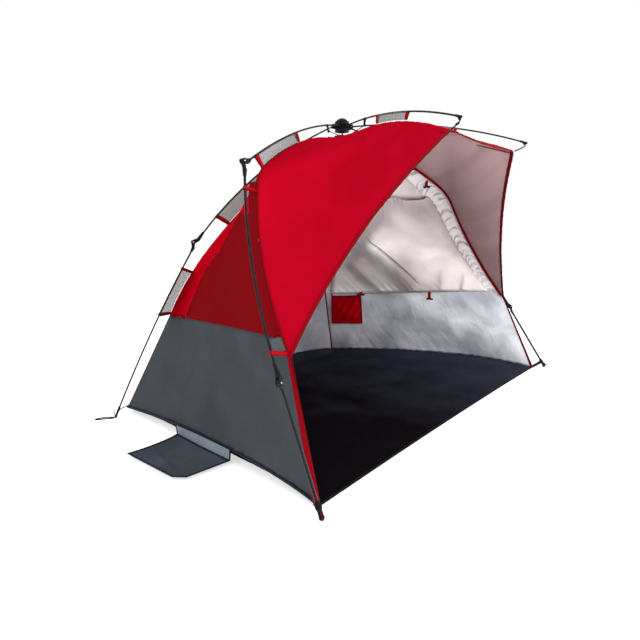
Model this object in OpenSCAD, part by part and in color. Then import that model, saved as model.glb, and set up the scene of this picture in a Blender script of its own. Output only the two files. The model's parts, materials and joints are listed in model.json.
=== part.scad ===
// Pop-up beach tent: a six-arm umbrella-hub frame that holds up a half-dome fabric shelter.
// Millimetres. The origin is on the ground straight below the hub, +Z is up, the mouth faces -Y.
// "Left" is -X and "right" is +X. Azimuths are counted from -Y, positive towards +X.
// Every arm lies in the vertical plane of its azimuth; points in such a plane are [radius, height].

/* [Hub] */
// Height of the pins that the arms turn on
arm_pivot_z = 1292; // [1288:1:1296]
// Radius of the circle of arm pins
arm_pivot_r = 45; // [44:0.5:48]
// Radius of the hub crown's body
crown_r = 33; // [30:0.5:34]
// Height of the hub crown's body
crown_h = 48; // [40:1:52]
// Height of the pins that the struts turn on
runner_pivot_z = 1245; // [1242:1:1248]
// Radius of the circle of strut pins
runner_pivot_r = 34; // [33:0.5:36]
// Radius of the runner's body
runner_r = 25; // [22:0.5:26]

/* [Poles] */
// Azimuth of the two awning poles
awning_az = 27.4; // [25:0.1:30]
// Azimuth of the two front arms
front_az = 76; // [74:0.5:78]
// Azimuth of the two rear arms
rear_az = 122; // [120:0.5:124]
// Diameter of the upper rods
rod_d = 7; // [6:0.5:7]
// Diameter of the front leg between elbow and knee
front_leg_d = 9; // [8:0.5:9.5]
// Diameter of the front leg below the knee
shin_d = 12; // [11:0.5:12]
// Bow of an awning rod over its chord
awning_bow = 37; // [32:1:42]
// Bow of a front rod over its chord
front_bow = 38; // [32:1:42]
// Bow of a rear rod over its chord
rear_bow = 54; // [50:1:58]
// Bow of a front leg over its chord, backwards and outwards
front_leg_bow = 30; // [24:1:34]
// Bow of a rear leg over its chord
rear_leg_bow = 13; // [10:1:18]
// Distance between a strut's bracket pin and its rod
bracket_drop = 26; // [25:1:28]

/* [Hinges] */
// Distance of an elbow or knee pin from the pole's line
hinge_offset = 12; // [11.5:0.1:12.5]
// Thickness of the blade between a fork's cheeks
blade_t = 8; // [7:0.5:8]
// Thickness of one cheek of a fork
cheek_t = 4; // [3.5:0.1:4.5]
// Diameter of an elbow or knee pin
hinge_pin_d = 5; // [4:0.5:5]

/* [Fabric] */
// Thickness of the plain fabric solids
cloth_t = 2; // [1.5:0.1:2.5]
// Height at which the fabric is gathered under the hub
crown_z = 1226; // [1220:1:1230]
// Depth to which a side wall sags between its poles
side_sag = 25; // [10:1:40]
// How far the hem of a wall arches up off the ground between its corners
hem_rise = 34; // [20:1:40]
// Depth to which the canopy sags between its poles
canopy_sag = 18; // [8:1:30]
// How far the free front edges of the canopy are cut back
edge_cut = 48; // [40:1:60]
// Distance from the mesh window to the flap that closes it
flap_gap = 6; // [5:1:10]

/* [Floor] */
// Thickness of the floor
floor_t = 3; // [2.5:0.1:4]
// How far the middle of the floor's front edge swells forward
floor_front_swell = -10; // [-30:1:20]
// How far the middle of each side of the floor is cut back
floor_side_cut = 60; // [40:1:80]

/* [Hidden] */
$fn = 32;

// ---- Points ----
// Ends of the poles, right side: elbows, knee, feet and awning tip
front_elbow = [975, 1026];
rear_elbow = [709, 751];
awning_end = [843.5, 1204];
knee = [1088, -494, 351];
front_foot = [1158, -693, 0];
rear_foot = [1079, 0];
front_foot_r = 9;
rear_foot_r = 6;

// Corners of the fabric, right side
crown = [0, crown_z];
canopy_corner = [794, 1166];
front_shoulder = [830, -190, 1015];
rear_shoulder = [526, 414, 725];
wing_foot = [1024, -479, 411];
floor_front = [1099, -640, 0];
floor_rear = [824, 600, 0];
band_rear = [640, 538, 425];
shell_middle = [0, 0, 450];

function lerp(a, b, t) = a + (b - a) * t;
function unit(v) = v / norm(v);
function heading(az) = [sin(az), -cos(az), 0];
function in_space(az, p) = p[0] * heading(az) + [0, 0, p[1]];
function left_of(v) = unit([-v[1], v[0]]);
function sideways(p) = [-p[0], p[1], p[2]];
function arc_radius(p, q, bow) = (pow(norm(q - p) / 2, 2) + bow * bow) / (2 * bow);
function arc_half(p, q, bow) = asin(norm(q - p) / 2 / arc_radius(p, q, bow));
function slope(v) = atan2(v[1], v[0]);
// A point at share t of the arc from p to q that bows to the left of its chord
function arc_point(p, q, bow, t) =
    let (r = arc_radius(p, q, bow), h = arc_half(p, q, bow), a = slope(q - p) + 90 + h - 2 * h * t)
    (p + q) / 2 + left_of(q - p) * (bow - r) + r * [cos(a), sin(a)];
// The direction of that arc at share t
function arc_heading(p, q, bow, t) =
    let (a = slope(q - p) + arc_half(p, q, bow) * (1 - 2 * t)) [cos(a), sin(a)];

arm_pivot = [arm_pivot_r, arm_pivot_z];
runner_pivot = [runner_pivot_r, runner_pivot_z];

// One row per kind of arm: azimuth, far end, bow, and share of the arc where the bracket sits,
// chosen so that each strut fits both the open and the folded frame
LEFT = -1;
RIGHT = 1;
SIDES = [LEFT, RIGHT];
AWNING = 0;
FRONT = 1;
REAR = 2;
ARMS = [
    [awning_az, awning_end, awning_bow, 0.187],
    [front_az, front_elbow, front_bow, 0.16],
    [rear_az, rear_elbow, rear_bow, 0.19],
];
function arm_end(k) = ARMS[k][1];
function arm_bow(k) = ARMS[k][2];
function arm_at(k, t) = arc_point(arm_pivot, arm_end(k), arm_bow(k), t);
function arm_dir(k, t) = arc_heading(arm_pivot, arm_end(k), arm_bow(k), t);
function bracket_pin(k) = arm_at(k, ARMS[k][3]) - left_of(arm_dir(k, ARMS[k][3])) * bracket_drop;

// ---- Placing ----
// Draws in the vertical plane of an azimuth: x is the radius, y the height
module in_plane(az) rotate([0, 0, az - 90]) rotate([90, 0, 0]) children();
// Mirrors its children to the left side when side is -1
module on_side(side) {
    if (side < 0) mirror([1, 0, 0]) children();
    else children();
}
// Draws in the plane of one arm
module in_arm(k, side) on_side(side) in_plane(ARMS[k][0]) children();
// Draws in the planes of all six arms
module in_each_arm() for (side = SIDES, k = [AWNING, FRONT, REAR]) in_arm(k, side) children();
// Draws with its origin at o, x along u, and y towards the side that v points to
module aligned(o, u, v) {
    x = unit(u);
    z = unit(cross(x, v));
    y = cross(z, x);
    multmatrix([
        [x[0], y[0], z[0], o[0]],
        [x[1], y[1], z[1], o[1]],
        [x[2], y[2], z[2], o[2]],
        [0, 0, 0, 1],
    ]) children();
}
// A round bar from a to b
module bar(a, b, d) {
    v = b - a;
    translate(a) rotate([0, acos(v[2] / norm(v)), atan2(v[1], v[0])]) cylinder(d = d, h = norm(v));
}
// A round bar in the XY plane along the arc from p to q, less a length cut off each end
module arc_tube(p, q, bow, d, cut_p, cut_q) {
    r = arc_radius(p, q, bow);
    h = arc_half(p, q, bow);
    less_p = cut_p / r * 180 / PI;
    less_q = cut_q / r * 180 / PI;
    translate((p + q) / 2 + left_of(q - p) * (bow - r))
        rotate(slope(q - p) + 90 - h + less_q)
            rotate_extrude(angle = 2 * h - less_p - less_q, $fn = 180)
                translate([r, 0]) circle(d = d, $fn = 20);
}

// ---- Hub ----
arm_eye_d = 14;
arm_eye_t = 7.2;
arm_pin_d = 4;
ear_gap = 8;
ear_t = 3.5;
ear_reach = 52;
ear_h = 20;
pin_play = 0.1;

module hub_crown() color("#1b1b1d") difference() {
    union() {
        translate([0, 0, arm_pivot_z - crown_h / 2]) cylinder(r = crown_r, h = crown_h, $fn = 48);
        translate([0, 0, arm_pivot_z + ear_h / 2 - 2]) cylinder(r = crown_r + 5, h = 6, $fn = 48);
        in_each_arm() for (s = SIDES)
            translate([crown_r - 6, arm_pivot_z - ear_h / 2, s * (ear_gap + ear_t) / 2 - ear_t / 2])
                cube([ear_reach - crown_r + 6, ear_h, ear_t]);
    }
    in_each_arm() translate([arm_pivot_r, arm_pivot_z, -ear_gap])
        cylinder(d = arm_pin_d + pin_play, h = 2 * ear_gap);
    translate([0, 0, arm_pivot_z - crown_h]) cylinder(r = crown_r - 8, h = crown_h, $fn = 48);
}
cap_r = 30;
cap_h = 16;
module hub_cap() color("#232326") translate([0, 0, arm_pivot_z + crown_h / 2 + 0.1]) intersection() {
    cylinder(r = cap_r, h = cap_h, $fn = 48);
    translate([0, 0, cap_h - 34]) sphere(r = 34, $fn = 64);
}
module hub_pins() color("#b8babd") in_each_arm()
    translate([arm_pivot_r, arm_pivot_z, -ear_gap / 2 - ear_t - 1])
        cylinder(d = arm_pin_d, h = ear_gap + 2 * ear_t + 2);

// ---- Runner and struts ----
strut_d = 3.4;
strut_eye_t = 4;
strut_eye_d = 10;
// Sideways place of a strut, beside the plane of its arm
strut_side = 7.2;
lug_t = 4;
lug_in = 0.6;
strut_pin_d = 3;
module runner() color("#1b1b1d") union() {
    difference() {
        translate([0, 0, runner_pivot_z - 12]) cylinder(r = runner_r, h = 20, $fn = 48);
        translate([0, 0, runner_pivot_z - 13]) cylinder(r = runner_r - 9, h = 22, $fn = 48);
    }
    in_each_arm() {
        translate([runner_r - 4, runner_pivot_z - 6, lug_in])
            cube([runner_pivot_r - runner_r + 4, 12, lug_t]);
        translate([runner_pivot_r, runner_pivot_z, lug_in]) cylinder(d = 12, h = lug_t);
        translate([runner_pivot_r, runner_pivot_z, lug_in]) cylinder(d = strut_pin_d, h = strut_side + 3);
    }
}
module strut(k, side) color("#1e1e20") in_arm(k, side) {
    a = runner_pivot;
    b = bracket_pin(k);
    difference() {
        union() {
            bar([a[0], a[1], strut_side], [b[0], b[1], strut_side], strut_d);
            for (p = [a, b]) translate([p[0], p[1], strut_side - strut_eye_t / 2])
                cylinder(d = strut_eye_d, h = strut_eye_t);
        }
        translate([a[0], a[1], 0]) cylinder(d = strut_pin_d + pin_play, h = strut_side * 2);
    }
    translate([b[0], b[1], strut_side]) cylinder(d = 6, h = strut_eye_t / 2 + 1.5);
}

// ---- Arms ----
function is_awning(k) = k == AWNING;
rod_end_cut = 18;
module rod(k, side) color("#202124") in_arm(k, side) difference() {
    union() {
        translate([arm_pivot_r, arm_pivot_z, -arm_eye_t / 2]) cylinder(d = arm_eye_d, h = arm_eye_t);
        arc_tube(arm_pivot, arm_end(k), arm_bow(k), rod_d, 0, is_awning(k) ? 0 : rod_end_cut);
    }
    translate([arm_pivot_r, arm_pivot_z, -arm_eye_d]) cylinder(d = arm_pin_d + pin_play, h = 2 * arm_eye_d);
}
bracket_d = 9.2;
bracket_l = 24;
module bracket(k, side) color("#1b1b1d") in_arm(k, side) {
    share = ARMS[k][3];
    foot = arm_at(k, share);
    away = arm_dir(k, share);
    pin = bracket_pin(k);
    translate(foot) rotate([0, 90, slope(away)]) translate([0, 0, -4])
        cylinder(d = bracket_d, h = bracket_l);
    translate([0, 0, lug_in]) linear_extrude(lug_t) hull() {
        translate(pin) circle(d = 10);
        translate(foot + away * 2) circle(d = bracket_d);
        translate(foot + away * 12) circle(d = 6);
    }
}
tip_d = 9.5;
tip_l = 30;
tip_lug_t = 3;
tip_hole_d = 3.4;
module tip(side) color("#1b1b1d") in_arm(AWNING, side) {
    away = arm_dir(AWNING, 1);
    end = arm_at(AWNING, 1);
    translate(end) rotate([0, 90, slope(away)]) translate([0, 0, 4 - tip_l]) {
        cylinder(d = tip_d, h = tip_l);
        translate([0, 0, tip_l]) sphere(d = tip_d);
    }
    lug = end - left_of(away) * tip_d;
    difference() {
        translate([0, 0, -tip_lug_t / 2]) linear_extrude(tip_lug_t) hull() {
            translate(lug) circle(d = tip_d);
            translate(end) circle(d = tip_d);
            translate(end - away * tip_d * 1.5) circle(d = tip_d - 2);
        }
        translate([lug[0], lug[1], -tip_lug_t]) cylinder(d = tip_hole_d, h = 2 * tip_lug_t);
    }
}

// ---- Elbows and knees ----
// Both parts are drawn with the hinge corner at the origin, the near pole arriving along +X and the
// far pole leaving at -bend degrees; the pin lies on the +Y side, so the far pole folds over that way
fork_gap = blade_t + 0.6;
fork_t = fork_gap + 2 * cheek_t;
blade_reach = 22;
pin_head_d = 8;
pin_head_h = 1.2;
function hinge_pin_at(bend) = hinge_offset * [sin(bend / 2), cos(bend / 2)];
module fork(bend, length, pole_d) {
    pin = hinge_pin_at(bend);
    for (s = SIDES) translate([0, 0, s * (fork_gap + cheek_t) / 2 - cheek_t / 2])
        linear_extrude(cheek_t) hull() {
            translate(pin) circle(d = 18);
            translate([-blade_reach, 0]) circle(d = 13);
        }
    translate([-rod_end_cut, 0, 0]) rotate([0, -90, 0])
        cylinder(d1 = fork_t, d2 = pole_d + 3, h = length - rod_end_cut);
    translate([pin[0], pin[1], -fork_t / 2]) cylinder(d = hinge_pin_d, h = fork_t);
    for (s = [0, 1]) mirror([0, 0, s]) translate([pin[0], pin[1], fork_t / 2])
        cylinder(d = pin_head_d, h = pin_head_h);
}
module blade(bend, length, pole_d) difference() {
    union() {
        translate([0, 0, -blade_t / 2]) linear_extrude(blade_t) hull() {
            translate(hinge_pin_at(bend)) circle(d = 17);
            rotate(-bend) translate([blade_reach, 0]) circle(d = 11);
        }
        rotate(-bend) translate([blade_reach - 2, 0, 0]) rotate([0, 90, 0])
            cylinder(d1 = fork_t - 1, d2 = pole_d + 3, h = length - blade_reach + 2);
    }
    translate([hinge_pin_at(bend)[0], hinge_pin_at(bend)[1], -fork_t / 2])
        cylinder(d = hinge_pin_d + pin_play, h = fork_t);
}
function angle_between(u, v) = acos(unit(u) * unit(v));
function as_heading(k, d) = in_space(ARMS[k][0], d);

// Front leg: an arc from elbow to knee in the plane of its chord and of the way it bows
front_foot_middle = front_foot + [0, 0, front_foot_r];
front_elbow_at = in_space(front_az, front_elbow);
leg_chord = knee - front_elbow_at;
leg_l = norm(leg_chord);
leg_swell = [0.43, 0.9, 0];
leg_side = unit(cross(cross(leg_chord, leg_swell), leg_chord));
leg_half = arc_half([0, 0], [leg_l, 0], front_leg_bow);
// Front elbow and knee: the headings of the poles there and the bends between them
front_in = as_heading(FRONT, arm_dir(FRONT, 1));
front_out = cos(leg_half) * unit(leg_chord) + sin(leg_half) * leg_side;
front_bend = angle_between(front_in, front_out);
knee_in = cos(leg_half) * unit(leg_chord) - sin(leg_half) * leg_side;
shin_out = unit(front_foot_middle - knee);
knee_bend = -angle_between(knee_in, shin_out);
// Rear elbow, in the plane of the rear arm
rear_foot_middle = rear_foot + [0, rear_foot_r];
rear_in = arm_dir(REAR, 1);
rear_out = arc_heading(rear_elbow, rear_foot_middle, rear_leg_bow, 0);
rear_bend = angle_between(rear_in, rear_out);

module at_front_elbow(side) on_side(side) aligned(front_elbow_at, front_in, front_in - front_out) children();
module at_knee(side) on_side(side) aligned(knee, knee_in, shin_out - knee_in) children();
module at_rear_elbow(side) in_arm(REAR, side) translate(rear_elbow) rotate(slope(rear_in)) children();
front_fork_l = 42;
rear_fork_l = 62;
knee_fork_l = 66;
blade_l = 42;
module elbow_fork(k, side) color("#1b1b1d") {
    if (k == FRONT) at_front_elbow(side) fork(front_bend, front_fork_l, rod_d);
    else at_rear_elbow(side) fork(rear_bend, rear_fork_l, rod_d);
}
module elbow_blade(k, side) color("#1b1b1d") {
    if (k == FRONT) at_front_elbow(side) blade(front_bend, blade_l, front_leg_d);
    else at_rear_elbow(side) blade(rear_bend, blade_l, rod_d);
}
module leg_front(side) color("#202124") on_side(side) aligned(front_elbow_at, leg_chord, leg_side)
    arc_tube([0, 0], [leg_l, 0], front_leg_bow, front_leg_d, blade_reach + 4, rod_end_cut + 2);
module leg_rear(side) color("#202124") in_arm(REAR, side)
    arc_tube(rear_elbow, rear_foot_middle, rear_leg_bow, rod_d, blade_reach + 4, 4);
module knee_fork(side) color("#1b1b1d") at_knee(side) fork(knee_bend, knee_fork_l, front_leg_d);
module shin(side) color("#26272a") {
    at_knee(side) blade(knee_bend, blade_l, shin_d - 2);
    on_side(side) bar(knee + shin_out * (blade_reach + 2), front_foot_middle - shin_out * 4, shin_d);
}
foot_l = 46;
module foot_front(side) color("#161617") on_side(side) {
    bar(front_foot_middle - shin_out * foot_l, front_foot_middle, shin_d + 4);
    translate(front_foot_middle) sphere(r = front_foot_r);
}
module foot_rear(side) color("#161617") in_arm(REAR, side) {
    arc_tube(rear_elbow, rear_foot_middle, rear_leg_bow, rod_d + 3,
        norm(rear_foot_middle - rear_elbow) - foot_l, 1);
    translate(rear_foot_middle) sphere(r = rear_foot_r);
}

// ---- Fabric ----
// Share of each ridge line at which it turns down at the shoulder and crosses the band of the walls
shoulder_share = 0.4;
band_share = 0.75;
wing_shoulder_share = 0.62;
// The fabric starts this far down the ridges, outside the gathering ring under the hub
start_share = 0.06;
awning_ridge_bow = 60;
front_ridge_bow = 58;
rear_ridge_bow = 78;
// How far the seam between wing and wall swells outwards, and the seam's share at the band
seam_swell = [16, 34, 0];
seam_band_share = 0.9;
rear_swell = [20, 15, 10];
lift = [0, 0, floor_t];
function in_right(p, side) = side < 0 ? sideways(p) : p;
function awning_ridge(t) = in_space(awning_az, arc_point(crown, canopy_corner, awning_ridge_bow, t));
function arch(v) = 4 * v * (1 - v);
function crest(end, bow, s) = lerp([0, 0, crown_z], end, s) + [0, 0, bow * arch(s)];
function seam(s) = lerp(front_shoulder, wing_foot, s) + seam_swell * arch(s);
function upper_part(t) = t / shoulder_share;
function middle_part(t) = (t - shoulder_share) / (band_share - shoulder_share);
function lower_part(t) = (t - band_share) / (1 - band_share);
function front_ridge(t) =
    t < shoulder_share ? crest(front_shoulder, front_ridge_bow, upper_part(t))
    : t < band_share ? seam(seam_band_share * middle_part(t))
    : lerp(seam(seam_band_share), floor_front + lift, lower_part(t));
function rear_ridge(t) =
    t < shoulder_share ? crest(rear_shoulder, rear_ridge_bow, upper_part(t))
    : t < band_share ? lerp(rear_shoulder, band_rear, middle_part(t)) + rear_swell * arch(middle_part(t))
    : lerp(band_rear, floor_rear + lift, lower_part(t));
function wing_ridge(t) =
    t < wing_shoulder_share ? crest(front_shoulder, front_ridge_bow, t / wing_shoulder_share)
    : seam((t - wing_shoulder_share) / (1 - wing_shoulder_share));
function inward(p) = unit(shell_middle - p);
function hem_lift(t, v) = [0, 0, hem_rise * arch(v) * pow(max(0, lower_part(t)), 2)];
edge_pull = unit(front_shoulder - lerp(in_space(awning_az, canopy_corner), wing_foot, 0.5));
// Surfaces of the right half: t runs down from the hub, v across from the first ridge to the second
function wing_at(t, v) =
    let (p = lerp(awning_ridge(t), wing_ridge(t), v))
    p + arch(v) * (edge_cut * pow(t, 3) * edge_pull + canopy_sag * sin(180 * t) * inward(p));
function side_at(t, v) =
    let (p = lerp(front_ridge(t), rear_ridge(t), v))
    p + arch(v) * side_sag * sin(180 * t) * inward(p) + hem_lift(t, v);
function rear_at(t, v) =
    let (p = lerp(rear_ridge(t), sideways(rear_ridge(t)), v))
    p + arch(v) * side_sag * sin(180 * t) * inward(p) + hem_lift(t, v);
function roof_at(t, v) =
    let (p = lerp(sideways(awning_ridge(t)), awning_ridge(t), v))
    p + arch(v) * canopy_sag * (1 - 0.5 * t) * inward(p);

// A closed sheet from rows of points on its outer face and as many on its inner face
module sheet(outer, inner) {
    rows = len(outer);
    cols = len(outer[0]);
    points = concat([for (r = outer, p = r) p], [for (r = inner, p = r) p]);
    half = rows * cols;
    function at(i, j) = i * cols + j;
    function quad(a, b, c, d) = [[a, b, c], [a, c, d]];
    faces = [
        for (i = [0:rows - 2], j = [0:cols - 2]) each concat(
            quad(at(i, j), at(i, j + 1), at(i + 1, j + 1), at(i + 1, j)),
            quad(half + at(i, j), half + at(i + 1, j), half + at(i + 1, j + 1), half + at(i, j + 1))
        ),
        for (i = [0:rows - 2]) each concat(
            quad(at(i, 0), at(i + 1, 0), half + at(i + 1, 0), half + at(i, 0)),
            quad(at(i + 1, cols - 1), at(i, cols - 1), half + at(i, cols - 1), half + at(i + 1, cols - 1))
        ),
        for (j = [0:cols - 2]) each concat(
            quad(at(0, j + 1), at(0, j), half + at(0, j), half + at(0, j + 1)),
            quad(at(rows - 1, j), at(rows - 1, j + 1), half + at(rows - 1, j + 1), half + at(rows - 1, j))
        ),
    ];
    polyhedron(points = points, faces = faces, convexity = 6);
}
function shares(from, to, steps) = [for (i = [0:steps]) from + (to - from) * i / steps];
function pushed(grid, depth) = [for (r = grid) [for (p = r) p + inward(p) * depth]];
module skin(grid, depth, thick) sheet(pushed(grid, depth), pushed(grid, depth + thick));

module canopy_roof() color("#c8102e")
    skin([for (t = shares(start_share, 1, 7)) [for (v = shares(0, 1, 6)) roof_at(t, v)]], 0, cloth_t);
module wing(side) color("#c8102e") on_side(side)
    skin([for (t = shares(start_share, 1, 10)) [for (v = shares(0, 1, 6)) wing_at(t, v)]], 0, cloth_t);
wall_start_share = start_share * shoulder_share / wing_shoulder_share;
wall_shares = concat(shares(wall_start_share, shoulder_share, 4), shares(shoulder_share, band_share, 4),
    shares(band_share, 1, 3));
function unique(list) = [for (i = [0:len(list) - 1]) if (i == 0 || list[i] > list[i - 1]) list[i]];
module wall(side) color("#4a4e52") on_side(side)
    skin([for (t = unique(wall_shares)) [for (v = shares(0, 1, 6)) side_at(t, v)]], 0, cloth_t);
module wall_rear() color("#4a4e52")
    skin([for (t = unique(wall_shares)) [for (v = shares(0, 1, 8)) rear_at(t, v)]], 0, cloth_t);
flap_top_share = 0.2;
flap_front_share = 0.08;
flap_rear_share = 0.96;
module window_flap(side) color("#8c8f96") on_side(side)
    skin([for (t = shares(flap_top_share, band_share - 0.01, 6))
        [for (v = shares(flap_front_share, flap_rear_share, 5)) side_at(t, v)]], flap_gap, cloth_t);
pocket_t = 10;
// Shares of the right wall that the pocket spans
POCKET_DOWN = [0.765, 0.87];
POCKET_ACROSS = [0.8, 0.965];
module wall_pocket() color("#a3122a")
    skin([for (t = shares(POCKET_DOWN[0], POCKET_DOWN[1], 2))
        [for (v = shares(POCKET_ACROSS[0], POCKET_ACROSS[1], 2)) side_at(t, v)]], flap_gap, pocket_t);
// One side of the floor, cut back between its corners a and b
function floor_side(a, b, cut) =
    let (back = unit([a[1] - b[1], b[0] - a[0]]))
    [for (s = shares(0, 1, 8)) let (p = lerp(a, b, s)) [p[0], p[1]] + back * cut * arch(s)];
function unique_points(list) = [for (i = [1:len(list) - 1]) if (norm(list[i] - list[i - 1]) > 1) list[i]];
module floor_sheet() color("#15151a") linear_extrude(floor_t) polygon(unique_points(concat(
    floor_side(sideways(floor_front), floor_front, -floor_front_swell),
    floor_side(floor_front, floor_rear, floor_side_cut),
    floor_side(floor_rear, sideways(floor_rear), floor_side_cut / 2),
    floor_side(sideways(floor_rear), sideways(floor_front), floor_side_cut)
)));
// A sand flap is sewn to the foot of a side wall and lies on the ground outside it
SAND_FLAP = [[925, 165], [1171, 154], [1218, -138], [1191, -178], [1021, -205], [1006, -190]];
module sand_flap(side) color("#5d6468") on_side(side) linear_extrude(floor_t) polygon(SAND_FLAP);

// ---- Sleeves, straps and cords ----
// Mesh sleeves hang between a pole and the fabric: each row is a kind of arm and the shares it spans
sleeve_top = 5;
sleeve_foot = 38;
SLEEVES = [[AWNING, 0.33, 0.6], [FRONT, 0.52, 0.88], [REAR, 0.5, 0.82]];
LEG_SLEEVE = [0.15, 0.42];
module sleeve(points, normals) {
    rim = [for (i = [0:len(points) - 1]) points[i] - normals[i] * sleeve_top];
    hem = [for (i = [len(points) - 1:-1:0]) points[i] - normals[i] * sleeve_foot];
    translate([0, 0, -cloth_t / 2]) linear_extrude(cloth_t) polygon(concat(rim, hem));
}
module pole_sleeves() color("#c9c9c9") for (side = SIDES) {
    for (s = SLEEVES) in_arm(s[0], side) sleeve(
        [for (t = shares(s[1], s[2], 4)) arm_at(s[0], t)],
        [for (t = shares(s[1], s[2], 4)) left_of(arm_dir(s[0], t))]);
    in_arm(REAR, side) sleeve(
        [for (t = shares(LEG_SLEEVE[0], LEG_SLEEVE[1], 4))
            arc_point(rear_elbow, rear_foot_middle, rear_leg_bow, t)],
        [for (t = shares(LEG_SLEEVE[0], LEG_SLEEVE[1], 4))
            left_of(arc_heading(rear_elbow, rear_foot_middle, rear_leg_bow, t))]);
}
strap_d = 5;
strap_clear = 16;
// Straps run from three corners of the fabric to the poles and stop just short of them
module corner_straps() color("#7a1020") for (side = SIDES) on_side(side) {
    leg_at = knee - knee_in * 60;
    for (s = [[wing_foot, leg_at], [floor_front + [0, 0, 6], front_foot_middle + [0, 0, 8]],
        [floor_rear + [0, 0, 6], in_space(rear_az, rear_foot_middle) + [0, 0, 4]]])
        bar(s[0], s[1] - unit(s[1] - s[0]) * strap_clear, strap_d);
}
cord_d = 4;
cord_sides = 8;
// The route of an elastic tip cord, right side: from the ring under the tip to the canopy's corner
TIP_CORD = [[387, -746, 1188], [383, -739, 1184], [376, -727, 1177], [369, -715, 1171]];
module cord(route) {
    last = len(route) - 1;
    rings = [for (i = [0:last])
        let (u = unit(route[min(i + 1, last)] - route[max(i - 1, 0)]), x = unit(cross(u, [0, 0, 1])),
            y = cross(u, x))
        [for (j = [0:cord_sides - 1]) route[i] + cord_d / 2
            * (x * cos(360 * j / cord_sides) + y * sin(360 * j / cord_sides))]];
    faces = concat(
        [[for (j = [0:cord_sides - 1]) j]],
        [for (i = [0:last - 1], j = [0:cord_sides - 1]) let (n = (j + 1) % cord_sides)
            [i * cord_sides + j, (i + 1) * cord_sides + j, (i + 1) * cord_sides + n, i * cord_sides + n]],
        [[for (j = [cord_sides - 1:-1:0]) last * cord_sides + j]]
    );
    polyhedron(points = [for (r = rings, p = r) p], faces = faces);
}
module tip_cord(side) color("#141415") on_side(side) cord(TIP_CORD);

hub_crown();
hub_cap();
hub_pins();
runner();
strut(AWNING, LEFT);  // strut_awning_left
strut(AWNING, RIGHT);  // strut_awning_right
strut(FRONT, LEFT);  // strut_front_left
strut(FRONT, RIGHT);  // strut_front_right
strut(REAR, LEFT);  // strut_rear_left
strut(REAR, RIGHT);  // strut_rear_right
rod(AWNING, LEFT);  // rod_awning_left
rod(AWNING, RIGHT);  // rod_awning_right
rod(FRONT, LEFT);  // rod_front_left
rod(FRONT, RIGHT);  // rod_front_right
rod(REAR, LEFT);  // rod_rear_left
rod(REAR, RIGHT);  // rod_rear_right
bracket(AWNING, LEFT);  // bracket_awning_left
bracket(AWNING, RIGHT);  // bracket_awning_right
bracket(FRONT, LEFT);  // bracket_front_left
bracket(FRONT, RIGHT);  // bracket_front_right
bracket(REAR, LEFT);  // bracket_rear_left
bracket(REAR, RIGHT);  // bracket_rear_right
tip(LEFT);  // tip_awning_left
tip(RIGHT);  // tip_awning_right
elbow_fork(FRONT, LEFT);  // elbow_fork_front_left
elbow_fork(FRONT, RIGHT);  // elbow_fork_front_right
elbow_fork(REAR, LEFT);  // elbow_fork_rear_left
elbow_fork(REAR, RIGHT);  // elbow_fork_rear_right
elbow_blade(FRONT, LEFT);  // elbow_blade_front_left
elbow_blade(FRONT, RIGHT);  // elbow_blade_front_right
elbow_blade(REAR, LEFT);  // elbow_blade_rear_left
elbow_blade(REAR, RIGHT);  // elbow_blade_rear_right
leg_front(LEFT);  // leg_front_left
leg_front(RIGHT);  // leg_front_right
leg_rear(LEFT);  // leg_rear_left
leg_rear(RIGHT);  // leg_rear_right
knee_fork(LEFT);  // knee_fork_left
knee_fork(RIGHT);  // knee_fork_right
shin(LEFT);  // shin_left
shin(RIGHT);  // shin_right
foot_front(LEFT);  // foot_front_left
foot_front(RIGHT);  // foot_front_right
foot_rear(LEFT);  // foot_rear_left
foot_rear(RIGHT);  // foot_rear_right
canopy_roof();
wing(LEFT);  // wing_left
wing(RIGHT);  // wing_right
wall(LEFT);  // wall_left
wall(RIGHT);  // wall_right
wall_rear();
floor_sheet();  // floor
window_flap(LEFT);  // window_flap_left
window_flap(RIGHT);  // window_flap_right
sand_flap(LEFT);  // sand_flap_left
sand_flap(RIGHT);  // sand_flap_right
wall_pocket();
pole_sleeves();
corner_straps();
tip_cord(LEFT);  // tip_cord_left
tip_cord(RIGHT);  // tip_cord_right
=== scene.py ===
"""Looks of the pop-up beach tent: cloth, bindings, fittings, finishes and light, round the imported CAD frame.

Metres, in the CAD frame: the ground is z = 0, +Z is up, the mouth faces -Y and right is +X.
Cloth is made on nearly the same ridges as in the CAD source, for the right side, and mirrored for the left.
On those surfaces t runs down from the hub (0) to the hem (1), and v runs across from one ridge to the next.
"""

import json
import math

import bpy
import numpy as np
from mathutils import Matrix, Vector, noise

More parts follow.
